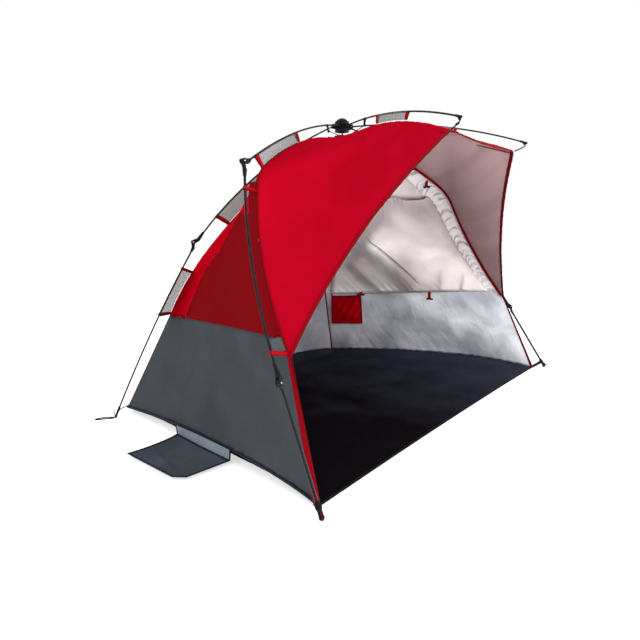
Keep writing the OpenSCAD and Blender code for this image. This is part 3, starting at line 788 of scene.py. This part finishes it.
def window_rays():
    """Directions round the window's middle, and how far its outline and the wall's edge lie on each."""
    middle = np.array(WINDOW_MIDDLE)
    top_left, bottom_right = np.array((WALL_START_SHARE, 0)), np.array((BAND_SHARE, 1))
    ends = (top_left[0], bottom_right[0])
    corners = [math.atan2(v - middle[1], t - middle[0]) for t in ends for v in (0, 1)]
    turns = np.sort(np.concatenate((np.linspace(-math.pi, math.pi, 260)[:-1], corners)))
    turns = np.append(turns, turns[0] + 2 * math.pi)
    rays = np.stack((np.cos(turns), np.sin(turns)), -1)
    outline = chaikin(WINDOW, 4) - middle
    order = np.argsort(np.arctan2(outline[:, 1], outline[:, 0]))
    angles = np.arctan2(outline[:, 1], outline[:, 0])[order]
    window = np.interp(turns, angles, np.hypot(*outline.T)[order], period=2 * math.pi)
    room = np.where(rays > 0, bottom_right - middle, top_left - middle)
    edge = np.min(room / np.where(np.abs(rays) < 1e-9, np.copysign(1e-9, rays), rays), -1)
    return middle, rays, window, edge


def ray_grid(middle, rays, start, end, steps, bias=1.0):
    """A grid of surface points on the rays, from start to end."""
    w = (even(steps) ** bias)[:, None, None]
    places = middle + rays[None] * (start[None, :, None] * (1 - w) + end[None, :, None] * w)
    return side_at(np.clip(places[..., 0], WALL_START_SHARE, 1), np.clip(places[..., 1], 0, 1))


def upper_wall_points():
    middle, rays, window, edge = window_rays()
    points = ray_grid(middle, rays, window, edge, 40, 1.2)
    out, run = along(points, 0), along(points, 1)
    to_edge = out[-1:] - out
    calm = smooth(to_edge / 0.03) * smooth((out + 0.004) / 0.02)
    height = 0.004 * puckers(to_edge, run, 0.042, 0.05, 4) * smooth(to_edge / 0.008)
    height += 0.002 * puckers(out, run, 0.05, 0.04, 8) + 0.002 * noise_at(points, 0.12, 1) * calm
    height[:, -1] = height[:, 0]
    return raised(points, height)


def netting_points():
    middle, rays, window, _ = window_rays()
    points = ray_grid(middle, rays, 0.001 * window, window + 0.002, 30)
    return points + inward(points) * 0.001


def band_points(surface, cols, seed):
    points = grid_of(surface, BAND_ROWS, cols)
    down, to_foot, across, to_side = edge_distances(points)
    calm = smooth(to_side / BAND_CALM)
    height = 0.004 * noise_at(points, 0.15, seed) + 0.0012 * noise_at(points, 0.05, seed + 4)
    height += 0.003 * puckers(down, across, 0.05, 0.03, seed)
    height += 0.003 * puckers(to_foot, across, 0.06, 0.035, seed + 7)
    top = smooth(down / 0.02)
    return raised(points, height * calm * (0.3 + 0.7 * top))


# The gathered strip inside a wall, between its front seam and the window flap
RUFFLE_DOWN = (0.2, 0.749)
RUFFLE_EDGE = (0.12, 0.05)


def ruffle_points():
    rows, share = np.linspace(*RUFFLE_DOWN, 120), np.linspace(0.13, 1, 16)
    edge = np.interp(rows, (0.37, RUFFLE_DOWN[1]), RUFFLE_EDGE) + 0.02
    points = side_at(np.repeat(rows[:, None], 16, 1), edge[:, None] * share[None, :])
    down = along(points, 0)
    gathers = puckers(0 * down, down, 0.04, 1.0, 2) * np.sqrt(arch(share))[None, :]
    return points + inward(points) * (0.009 + 0.007 * gathers)[..., None]


def add_walls(side):
    _, _, window, edge = window_rays()
    open_rays = edge - window > 0.002
    keep = np.tile(open_rays[1:] & open_rays[:-1], (39, 1))
    wall = cloth(f"wall_upper_{side}", upper_wall_points(), RED_WALL, PALE_INSIDE, keep)
    ruffle = cloth(f"wall_ruffle_{side}", ruffle_points(), RED_WALL, GATHERED)
    netting = cloth(f"window_netting_{side}", netting_points(), WINDOW_MESH, thickness=MESH_T)
    band = cloth(f"wall_band_{side}", band_points(side_at, even(90), 2), CHARCOAL, SILVER)
    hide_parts(f"wall_{side}")
    on_shell("canopy_fabric", wall, ruffle)
    on_shell("sleeve_mesh", netting)
    on_shell("wall_fabric", band)


def add_rear_wall():
    cols = even(84)
    points = grid_of(rear_at, np.linspace(WALL_START_SHARE, BAND_SHARE, 60), cols)
    down, _, _, to_side = edge_distances(points)
    calm = smooth(to_side / REAR_CALM)
    height = (0.005 * noise_at(points, 0.16, 6) + 0.002 * noise_at(points, 0.05, 3)) * calm
    height += 0.002 * puckers(to_side, down, 0.05, 0.04, 6) * smooth(to_side / 0.012)
    # The rear wall's inside takes the darker silver copy: painted shade.
    upper = cloth("wall_rear_upper", raised(points, height), RED_WALL, REAR_SILVER_SHADED)
    band = cloth("wall_rear_band", band_points(rear_at, cols, 12), CHARCOAL, REAR_SILVER_SHADED)
    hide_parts("wall_rear")
    on_shell("canopy_fabric", upper)
    on_shell("wall_fabric", band)


# ---- Floor ----
FLOOR_FRONT_CUT = 0.01
FLOOR_RISE_REACH = 0.07
FLOOR_BINDING_WIDTH = 0.01
FLOOR_BINDING_IN = 0.003


def add_floor():
    w = even(90)
    u = np.linspace(-1, 1, 110)
    hem = side_at(np.ones_like(w), w)
    rear = rear_at(np.ones_like(u), (1 - u) / 2)
    points = np.zeros((len(w), len(u), 3))
    points[..., 0] = u[None, :] * hem[:, :1]
    points[..., 1] = hem[:, 1:2] + FLOOR_FRONT_CUT * arch((u + 1) / 2)[None, :] * (1 - w)[:, None]
    from_side = (1 - np.abs(u))[None, :] * hem[:, :1]
    from_rear = FLOOR_REAR[1] - points[..., 1]
    side_rise = (hem[:, 2:3] - GROUND_GAP) * (1 - smooth(from_side / FLOOR_RISE_REACH)) ** 2
    rear_rise = (rear[None, :, 2] - GROUND_GAP) * (1 - smooth(from_rear / FLOOR_RISE_REACH)) ** 2
    flat = smooth(from_side / 0.05) * smooth(from_rear / 0.05) * smooth(w / 0.03)[:, None]
    wrinkles = 0.006 * np.maximum(noise_at(points, 0.14, 5) + 0.15, 0) * flat
    wrinkles += 0.004 * np.maximum(noise_at(points, 0.05, 7), 0) * flat
    points[..., 2] = GROUND_GAP + np.maximum(side_rise, rear_rise) + wrinkles
    floor = cloth("floor_sheet", points, FLOOR_CLOTH, up=UP)
    edge = points[0] + np.array((0, FLOOR_BINDING_IN, 0))
    width = FLOOR_BINDING_WIDTH
    front = tape("floor_front_binding", edge, (0, 1, 0), UP, width, BLACK_TAPE, THICK_BINDING_T)
    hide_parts("floor")
    on_shell("floor_fabric", floor, front)


add_canopy()
on_both_sides(add_walls)
add_rear_wall()
add_floor()


# ---- Window flaps ----
FLAP_BOTTOM = 0.757
FLAP_REAR = 0.965
FLAP_GAP = 0.009
# Folds of a flap, each from one (t, v) to another: height, and its width on either side
FLAP_FOLDS = [
    ((0.36, 0.75), (0.8, 0.29), 0.1, 0.13, 0.3),
    ((0.5, 0.86), (0.8, 0.56), 0.025, 0.05, 0.09),
    ((0.36, 0.36), (0.6, 0.2), 0.01, 0.09, 0.05),
    ((0.64, 0.16), (0.78, 0.3), 0.02, 0.025, 0.05),
    ((0.68, 0.09), (0.77, 0.2), 0.012, 0.015, 0.03),
]


def flap_points():
    q, w = np.meshgrid(even(110), even(120), indexing="ij")
    v = 0.11 + (FLAP_REAR - 0.11) * w
    top = np.maximum(0.376 - 0.264 * (v - 0.085), 0.31)
    t = top + (FLAP_BOTTOM - top) * q
    v = v - 0.06 * q * (1 - w)
    points = side_at(t, v)
    points = points + inward(points) * FLAP_GAP
    down, to_foot, across, to_side = edge_distances(points)
    height = np.zeros(points.shape[:2])
    for a, b, rise, near, far in FLAP_FOLDS:
        ends = [side_at(np.array([p[0]]), np.array([p[1]]))[0] for p in (a, b)]
        height += fold(points, *ends, rise, near, far)
    height += 0.004 * (1 + puckers(to_foot, across, 0.05, 0.04, 3))
    height += 0.004 * (1 + puckers(down, across, 0.035, 0.04, 6))
    height += 0.005 * (1 + noise_at(points, 0.16, 4)) + 0.001 * (1 + noise_at(points, 0.05, 8))
    return points + inward(points) * (height * smooth(np.minimum(to_side, to_foot) / 0.02))[..., None]


def add_flap(side):
    flap = cloth(f"window_flap_cloth_{side}", flap_points(), RED_WALL, SILVER_FLAP)
    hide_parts(f"window_flap_{side}")
    on_shell("flap_fabric", flap, body=f"window_flap_{side}")


on_both_sides(add_flap)


# ---- Seams, piping and bindings ----
# Piping: how thick, and how far inside the seam
ARCH_PIPING_R = 0.0078
ARCH_PIPING_IN = 0.007
REAR_PIPING_R = 0.004
REAR_PIPING_IN = 0.005
HEM_WIDTH = 0.012
LINING_WIDTH = 0.014


def line_tape(name, line, towards, width, material, lift, thick=TAPE_T, shift=0.0, out=None):
    """A band along a line. towards is the way its width runs, and it lies lift away from the cloth."""
    run = unit(np.gradient(line, axis=0))
    out = -inward(line) if out is None else out
    out = unit(out - run * (out * run).sum(-1, keepdims=True))
    across = np.cross(out, run)
    across = across * np.sign((across * towards).sum(-1, keepdims=True))
    return tape(name, line + out * lift, across, out, width, material, thick, shift)


def hem_tape(name, surface):
    v = even(90)
    line = surface(np.ones(90), v)
    up = unit(surface(np.full(90, 0.95), v) - line)
    return line_tape(name, line, up, HEM_WIDTH, NAVY_TAPE, TAPE_LIFT, BINDING_T, 0.004)


def add_seams(side):
    seam = front_line(np.linspace(0.6, 1.97, 90))
    line = seam + inward(seam) * ARCH_PIPING_IN
    arch_piping = tube(f"arch_piping_{side}", line, ARCH_PIPING_R, DARK_RED_TAPE)
    to_wall = unit(side_at(np.full(60, 0.5), np.full(60, 0.3)) - seam[:60])
    # Painted shade: a dark red strip laid on the wall beside the front seam, where the wing's seam shades it.
    shaded = front_line(np.linspace(1.06, 1.88, 60))
    shade = line_tape(f"seam_painted_shade_{side}", shaded, to_wall, 0.026, DARK_RED_TAPE, 0.003, shift=0.013)
    corner = rear_ridge(np.linspace(0.45, 0.995, 60))
    line = corner + inward(corner) * REAR_PIPING_IN
    rear_piping = tube(f"rear_piping_{side}", line, REAR_PIPING_R, DARK_RED_TAPE)
    t = np.linspace(0.772, 0.998, 60)
    edge = front_ridge(t)
    into = unit(side_at(t, np.full(60, 0.1)) - edge)
    widths = np.linspace(0.008, 0.022, 60)
    bound = line_tape(f"wall_edge_binding_{side}", edge, into, widths, HEM_TAPE, TAPE_LIFT, BINDING_T, 0.003)
    # The lining inside the edge is darker than the binding outside: painted shade.
    lining = line_tape(f"wall_edge_lining_{side}", edge, into, LINING_WIDTH, BINDING_INSIDE_SHADED, -0.004)
    hem = hem_tape(f"wall_hem_{side}", side_at)
    v = even(90)
    band_top = side_at(np.full(90, BAND_SHARE), 0.002 + 0.996 * v)
    down = unit(side_at(np.full(90, 0.85), v) - band_top)
    seam_tape = line_tape(f"band_seam_{side}", band_top, down, HEM_WIDTH, SILVER_TAPE, -0.006)
    share = even(30)
    crease = wing_at(0.985 - 0.2 * share, 0.012 + 0.022 * share)
    corner_tape = line_tape(f"corner_tape_{side}", crease, -UP, 0.016 - 0.013 * share, DARK_RED_TAPE, -0.004)
    on_shell("strap_webbing", arch_piping, shade, rear_piping, bound, lining, hem, seam_tape, corner_tape)


# The patch that reinforces the crown, down to this share of the ridges
PATCH_SHARE = 0.13
PATCH_LIFT = 0.004


def add_crown_patch():
    v = even(24)
    t = np.full(24, PATCH_SHARE)
    wall_t = t * WALL_START_SHARE / START_SHARE
    right = np.concatenate((wing_at(t, v), side_at(wall_t, v)))
    ring = np.concatenate((roof_at(t, v), right, rear_at(wall_t, v), mirrored(right)[::-1]))
    ring = ring - inward(ring) * PATCH_LIFT
    top = UP * (CROWN_Z + PATCH_LIFT)
    points = top + (ring - top)[None] * np.linspace(0.02, 1, 14)[:, None, None]
    patch = cloth("crown_patch", points, RED, MAUVE)
    on_shell("canopy_fabric", patch)


on_both_sides(add_seams)
on_shell("strap_webbing", hem_tape("wall_hem_rear", rear_at))
add_crown_patch()


# ---- Mesh sleeves under the poles ----
# The share of its pole that each sleeve spans
SLEEVES = {"awning": (0.33, 0.6), "front": (0.54, 0.91), "rear": (0.47, 0.82), "leg": (0.15, 0.42)}
# How far the foot of a sleeve is set towards the hub, as a share of the pole
SLEEVE_SLANT = {"awning": 0.01, "front": 0.05, "rear": 0.02, "leg": 0.0}
SLEEVE_RIDGES = {
    "awning": awning_ridge, "front": front_line, "rear": rear_line, "leg": lambda s: rear_line(1 + s),
}


def pole_line(kind, t):
    if kind == "leg":
        return in_space(POLES["rear"][0], arc(POLES["rear"][1], LEG_END, LEG_BOW, t))
    azimuth, end, bow = POLES[kind]
    return in_space(azimuth, arc(ARM_PIVOT, end, bow, t))


# Sleeve and its end straps: how far from the pole's middle, and half the gap between their feet
SLEEVE_FIT = (0.0052, 0.001)
STRAP_FIT = (0.0064, 0.0024)
SLEEVE_T = 0.0005
STRAP_REACH = 0.03


def sleeve_points(kind, shares, radius, gap):
    """Cloth slung under a pole, with both its sides brought together on the ridge below."""
    start, end = SLEEVES[kind]
    drop = np.concatenate((np.linspace(1, 0, 8), np.zeros(9), even(8)))
    turn = np.concatenate((np.zeros(8), np.linspace(0, math.pi, 9), np.full(8, math.pi)))
    middle, half = (start + end) / 2, (end - start) / 2
    s = middle + half * (2 * shares[:, None] - 1) - SLEEVE_SLANT[kind] * drop[None, :]
    rods = pole_line(kind, s)
    run = unit(pole_line(kind, s + 0.01) - rods)
    ridge = SLEEVE_RIDGES[kind](even(240))
    nearest = np.linalg.norm(rods[:, :, None] - ridge, axis=-1).argmin(-1)
    feet = ridge[nearest]
    down = feet - rods
    down = unit(down - run * (down * run).sum(-1, keepdims=True))
    side = np.cross(run, down)
    over = rods + radius * circle(turn, side, down)
    foot = feet - inward(feet) * 0.002 + gap * side * np.cos(turn)[:, None]
    return over + (foot - over) * drop[None, :, None]


def add_sleeves(side):
    for kind in SLEEVES:
        add_sleeve(kind, side)


def add_sleeve(kind, side):
    body, rod = [f"leg_rear_{side}"] * 2 if kind == "leg" else (f"arm_{kind}_{side}", f"rod_{kind}_{side}")
    points = sleeve_points(kind, even(30), *SLEEVE_FIT)
    sleeve = cloth(f"sleeve_{kind}_{side}", points, SLEEVE_MESH, thickness=SLEEVE_T)
    straps = []
    for name, at in (("upper", 0), ("lower", 1)):
        points = sleeve_points(kind, np.linspace(at - STRAP_REACH, at + STRAP_REACH, 4), *STRAP_FIT)
        straps.append(cloth(f"sleeve_strap_{name}_{kind}_{side}", points, RED_TAPE))
    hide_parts("pole_sleeves")
    for piece in (sleeve, *straps):
        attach(piece, body)


on_both_sides(add_sleeves)


# ---- Webbing straps between the cloth and the legs ----
LEG_SWELL = np.array((0.43, 0.9, 0))
FRONT_LEG_BOW = 0.03
# Loops round the front leg and its foot: radius and width
LEG_LOOP = (0.006, 0.012)
FOOT_LOOP = (0.0095, 0.015)


def front_leg(t):
    """Points at shares t of the bowed leg from the front elbow to the knee."""
    azimuth, end, _ = POLES["front"]
    elbow = in_space(azimuth, np.array(end))
    chord = KNEE - elbow
    side = unit(LEG_SWELL - chord * (LEG_SWELL @ chord) / (chord @ chord))
    plane = arc((0, 0), (np.linalg.norm(chord), 0), FRONT_LEG_BOW, t)
    return elbow + plane[..., :1] * unit(chord) + plane[..., 1:] * side


def pole_loop(name, anchor, centre, axis, radius, width, material):
    """Webbing from an anchor on the cloth round a pole and back."""
    anchor, centre, axis = (placed(point, name) for point in (anchor, centre, unit(axis)))
    towards = centre - anchor
    towards = unit(towards - axis * (towards @ axis))
    side = np.cross(axis, towards)
    radial = circle(np.linspace(-1.9, 1.9, 22), towards, side)
    line = np.concatenate(([anchor - side * 0.001], centre + radius * radial, [anchor + side * 0.001]))
    out = np.concatenate(([-side], radial, [side]))
    return flat_band(name, line, axis, out, width, material)


def add_leg_straps(side):
    at = front_leg(np.array([0.115, 0.14, 0.866, 0.886]))
    anchors = front_line(np.array([1.11, 1.97]))
    upper = pole_loop(f"strap_shoulder_{side}", anchors[0], at[0], at[1] - at[0], *LEG_LOOP, RED_TAPE)
    lower = pole_loop(f"strap_wing_{side}", anchors[1], at[2], at[3] - at[2], *LEG_LOOP, RED_TAPE)
    seam = front_line(np.linspace(1.89, 1.955, 14))
    leg = front_leg(np.linspace(0.805, 0.86, 14))
    points = seam[:, None] + (leg - seam)[:, None] * np.linspace(0, 0.9, 14)[None, :, None]
    gusset = cloth(f"leg_gusset_{side}", points, GUSSET_MESH, thickness=MESH_T)
    shin_way = unit(KNEE - FRONT_FOOT)
    foot_at = FRONT_FOOT + shin_way * 0.03
    corner = FLOOR_FRONT + np.array((0, 0, 0.004))
    front = pole_loop(f"strap_foot_front_{side}", corner, foot_at, shin_way, *FOOT_LOOP, BLACK_TAPE)
    tag_line = np.linspace(foot_at, foot_at + np.array((0.02, -0.03, -0.024)), 8)
    tag = tape(f"strap_tip_front_{side}", tag_line, (0, 0.3, 1), (1, 0.5, 0), 0.012, DARK_RED_TAPE)
    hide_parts("corner_straps")
    on_shell("strap_webbing", upper, lower, gusset, front, tag)


REAR_LEG_FOOT = in_space(POLES["rear"][0], np.array(LEG_END))
# The way that the stake loop lies from the rear foot
STAKE_WAY = np.array((0.82, 0.57, 0))


def add_rear_tie(side):
    """The rear corner's cord and hook, and the loop for a stake."""
    corner, foot = FLOOR_REAR + np.array((0.004, 0, 0.006)), REAR_LEG_FOOT + np.array((0, 0, 0.016))
    away = unit((foot - corner) * np.array((1.0, 1, 0)))
    middle = (corner + foot) / 2 + np.array((0, 0, 0.006))
    cord = tube(f"rear_tie_{side}", curved([corner, middle, foot - away * 0.01], 18), 0.0022, BRAID)
    hook_line = foot + 0.011 * circle(np.linspace(-2.9, 1.6, 24), away, UP)
    hook = tube(f"rear_hook_{side}", hook_line, 0.0018, BLACK_PLASTIC)
    turns = np.linspace(0.25, 2 * math.pi - 0.25, 40)
    lopsided = 0.011 * (1 + 0.3 * np.sin(3 * turns))[:, None]
    start = REAR_LEG_FOOT + STAKE_WAY * 0.045 + UP * (GROUND_GAP - REAR_LEG_FOOT[2])
    reach = circle(turns, -0.04 * STAKE_WAY, lopsided * np.cross(STAKE_WAY, UP))
    loop = tape(f"stake_loop_{side}", start + reach, UP, reach, 0.005, BLACK_TAPE, 0.002)
    on_shell("elastic_cord", cord)
    on_shell("strap_webbing", hook, loop)


on_both_sides(add_leg_straps, add_rear_tie)


# ---- Cords at the awning tips ----
TIP_CORD = [
    (0.387, -0.746, 1.188), (0.383, -0.739, 1.184), (0.376, -0.727, 1.177), (0.366, -0.706, 1.168),
]


def add_tip_cord(side):
    line = curved(TIP_CORD, 14)
    run = unit(line[-1] - line[0])
    cord = tube(f"tip_cord_line_{side}", line, 0.0028, BLACK_TAPE)
    ring = circle(np.linspace(-2.7, 2.3, 24), run, unit(np.cross(run, UP)))
    hook_line = line[5] + run * 0.002 + 0.006 * ring
    hook = tube(f"tip_hook_{side}", hook_line, 0.0019, BLACK_PLASTIC)
    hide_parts(f"tip_cord_{side}")
    on_shell("elastic_cord", cord, hook)


on_both_sides(add_tip_cord)


# ---- Pocket and toggles ----
def rims(points):
    """The edges of a grid, each with the way in from it: first and last row, first and last column."""
    lines = (points, points[::-1], points.swapaxes(0, 1), points[:, ::-1].swapaxes(0, 1))
    return [(line[0], line[1] - line[0]) for line in lines]


POCKET_DOWN = (0.767, 0.882)
POCKET_ACROSS = (0.787, 0.96)
POCKET_SLANT = 0.02
POCKET_STANDOFF = 0.009
SMALL_BINDING_WIDTH = 0.009


def add_pocket():
    rows, cols = np.linspace(*POCKET_DOWN, 44), np.linspace(*POCKET_ACROSS, 50)
    q = (rows - rows[0])[:, None] / (rows[-1] - rows[0])
    t, v = np.meshgrid(rows, cols, indexing="ij")
    points = side_at(t, v + POCKET_SLANT * q)
    w = (cols - cols[0])[None, :] / (cols[-1] - cols[0])
    bulge = POCKET_STANDOFF + 0.012 * np.sin(math.pi * w) * smooth(q * 1.6) * smooth((1 - q) * 4)
    creases = 0.003 * np.sin(22 * (w - 0.6 * q)) * arch(w) * smooth((1 - q) * 3)
    points = points + inward(points) * (bulge + creases + 0.001 * noise_at(points, 0.03, 2))[..., None]
    pocket = cloth("wall_pocket_cloth", points, POCKET_CLOTH, up=(-1, 0, 0))
    seam = side_at(np.full(2, BAND_SHARE + 0.002), np.array(POCKET_ACROSS))
    seam = seam + inward(seam) * POCKET_STANDOFF
    edges = []
    rim = dict(zip(("top", "bottom", "front", "rear"), rims(points)))
    for name, above in (("front", seam[0]), ("rear", seam[1]), ("top", None), ("bottom", None)):
        line, way = rim[name]
        if above is not None:
            way = way[0]
            line = np.concatenate((lerp(above, line[0], np.linspace(0, 0.9, 6)), line))
        looks = {"material": DARK_RED_TAPE, "lift": 0.001, "out": inward(line)}
        edges.append(line_tape(f"pocket_binding_{name}", line, way, SMALL_BINDING_WIDTH, **looks))
    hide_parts("wall_pocket")
    on_shell("pocket_fabric", pocket, *edges)


# Toggles that hold the rolled window flap, as t, v and the length that hangs
TOGGLES = [(0.752, 0.36, 0.05), (0.747, 0.775, 0.022), (0.315, 0.014, 0.035)]


TOGGLE_BAR = [
    (0.001, 0), (0.0055, 0.002), (0.006, 0.01), (0.004, 0.022), (0.006, 0.034), (0.0055, 0.042),
    (0.001, 0.044),
]


def add_toggles(side):
    made = []
    for number, (t, v, length) in enumerate(TOGGLES):
        at = side_at(np.array([t]), np.array([v]))[0]
        into = inward(at[None])[0]
        w = even(14)
        drop = at + into * 0.016 - np.outer(length * w, UP) + np.outer(np.sin(math.pi * w), into) * 0.006
        way = unit(np.cross(-UP, into))
        made.append(tape(f"toggle_loop_{number}_{side}", drop, way, into, 0.02, RED_TAPE))
        bar_at = drop[-1] - way * TOGGLE_BAR[-1][1] / 2
        made.append(lathe(f"toggle_bar_{number}_{side}", TOGGLE_BAR, bar_at, way, BLACK_PLASTIC, 14))
    on_shell("strap_webbing", *made)


add_pocket()
on_both_sides(add_toggles)


# ---- Sand flaps ----
SAND_INNER = [(0.925, 0.165), (0.966, 0.0), (1.008, -0.196)]
SAND_OUTER = [(1.171, 0.154), (1.194, 0.01), (1.217, -0.138), (1.191, -0.178)]
SAND_KNOTS = (0, 0.46, 0.93, 1)
HEM_SPAN = (0.66, 0.358)


def sand_edge(points, knots, u):
    points = np.array(points)
    return np.stack((np.interp(u, knots, points[:, 0]), np.interp(u, knots, points[:, 1]), 0 * u), -1)


def add_sand_flap(side):
    u, w = even(60), even(44)
    inner, outer = sand_edge(SAND_INNER, (0, 0.5, 1), u), sand_edge(SAND_OUTER, SAND_KNOTS, u)
    points = inner[:, None] + (outer - inner)[:, None] * w[None, :, None]
    points[..., 1] -= 0.012 * (1 - u)[:, None] ** 2 * arch(w)[None, :]
    dish = arch(u)[:, None] * arch(w)[None, :]
    points[..., 2] = 0.012 - 0.009 * dish + 0.003 * noise_at(points, 0.07, 3) * np.sqrt(dish)
    from_crease = w[None, :] - 0.6 - 0.3 * u[:, None]
    points[..., 2] += 0.006 * np.exp(-((from_crease / 0.07) ** 2)) * arch(u)[:, None]
    panel = cloth(f"sand_panel_{side}", points, SAND_CLOTH, up=UP)
    binding = SMALL_BINDING_WIDTH, NAVY_TAPE, 0.0008, BINDING_T, 0.003, UP
    edges = [
        line_tape(f"sand_binding_{name}_{side}", line, way, *binding)
        for name, (line, way) in zip(("rear", "front", "inner", "outer"), rims(points))
    ]
    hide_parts(f"sand_flap_{side}")
    on_shell("sand_fabric", panel, *edges, body=f"sand_flap_{side}")
    hem = side_at(np.ones(60), HEM_SPAN[0] + (HEM_SPAN[1] - HEM_SPAN[0]) * u)
    climb = even(20)
    points = points[:, :1] + (hem - points[:, 0])[:, None] * climb[None, :, None]
    points[..., 2] += 0.006 * arch(climb)[None, :] + 0.002
    gathers = puckers(along(points, 1), along(points, 0), 0.035, 0.06, 4)
    points[..., 2] += 0.0035 * gathers * arch(climb)[None, :]
    strip = cloth(f"sand_strip_{side}", points, STRIP_CLOTH, up=UP)
    ends = [
        tube(f"sand_strip_edge_{name}_{side}", points[row], 0.0028, BLACK_TAPE)
        for name, row in (("rear", 0), ("front", -1))
    ]
    on_shell("sand_fabric", strip, *ends)


on_both_sides(add_sand_flap)


# ---- Pin heads ----
PIN_HEAD = [(0.0001, 0.0102), (0.0026, 0.01), (0.0038, 0.0094), (0.0042, 0.0086), (0.0042, 0.0078)]


def add_pin_heads():
    for joint in frame["joints"]:
        if not joint["name"].startswith(("elbow_", "knee_")):
            continue
        at, axis = np.array(joint["pos_m"]), unit(np.array(joint["axis"]))
        heads = [
            lathe(f"pin_head_{joint['name']}_{n}", PIN_HEAD, at, way * axis, CHROME, 20)
            for n, way in (("a", 1), ("b", -1))
        ]
        pin = join(f"pin_heads_{joint['name']}", heads)
        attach(pin, joint["parent"])


add_pin_heads()


# ---- CAD parts: better finishes ----
NODE_FINISHES = {
    "hub_": BLACK_PLASTIC, "hub_pins": STEEL, "runner": BLACK_PLASTIC, "strut_": POLE_FINISH,
    "rod_": POLE_FINISH, "bracket_": BLACK_PLASTIC, "tip_awning": BLACK_PLASTIC, "elbow_": BLACK_PLASTIC,
    "knee_": BLACK_PLASTIC, "leg_": POLE_FINISH, "shin_": BRAID, "foot_": RUBBER,
}
for node, cad_part in frame["nodes"].items():
    matching = [finish for start, finish in NODE_FINISHES.items() if node.startswith(start)]
    if matching:
        cad_part.data.materials.clear()
        cad_part.data.materials.append(matching[-1])


# ---- Studio ----
def add_light(name, at, size, power, aim=(0, 0, 0.5)):
    data = bpy.data.lights.new(name, "AREA")
    data.size, data.energy = size, power
    lamp = linked(name, data)
    lamp.location = at
    lamp.rotation_euler = (Vector(aim) - Vector(at)).to_track_quat("-Z", "Y").to_euler()


def add_studio():
    corners = [(9 * x, 9 * y, -0.001) for x, y in ((-1, -1), (1, -1), (1, 1), (-1, 1))]
    floor = mesh_object("studio_floor", corners, [(0, 1, 2, 3)])
    pale = Finish("studio_pale", 0.9, use_uv=False)
    pale.tones(pale.noise(2), [(0.0, (250, 250, 250)), (1.0, (252, 252, 252))])
    floor.data.materials.append(pale.made(Emission_Color=(1, 1, 1, 1), Emission_Strength=0.6))
    world = bpy.data.worlds.new("studio")
    world.use_nodes = True
    background = world.node_tree.nodes["Background"]
    background.inputs["Color"].default_value = (1, 1, 1, 1)
    background.inputs["Strength"].default_value = 1.0
    bpy.context.scene.world = world
    add_light("key", (-1.2, -3.6, 2.4), 2.0, 30)
    add_light("top", (0.0, -0.6, 4.0), 2.5, 15)
    add_light("mouth", (0.45, -2.6, 1.1), 0.8, 42, (0.8, 0.0, 0.4))
    bpy.context.scene.view_settings.view_transform = "Standard"


add_studio()
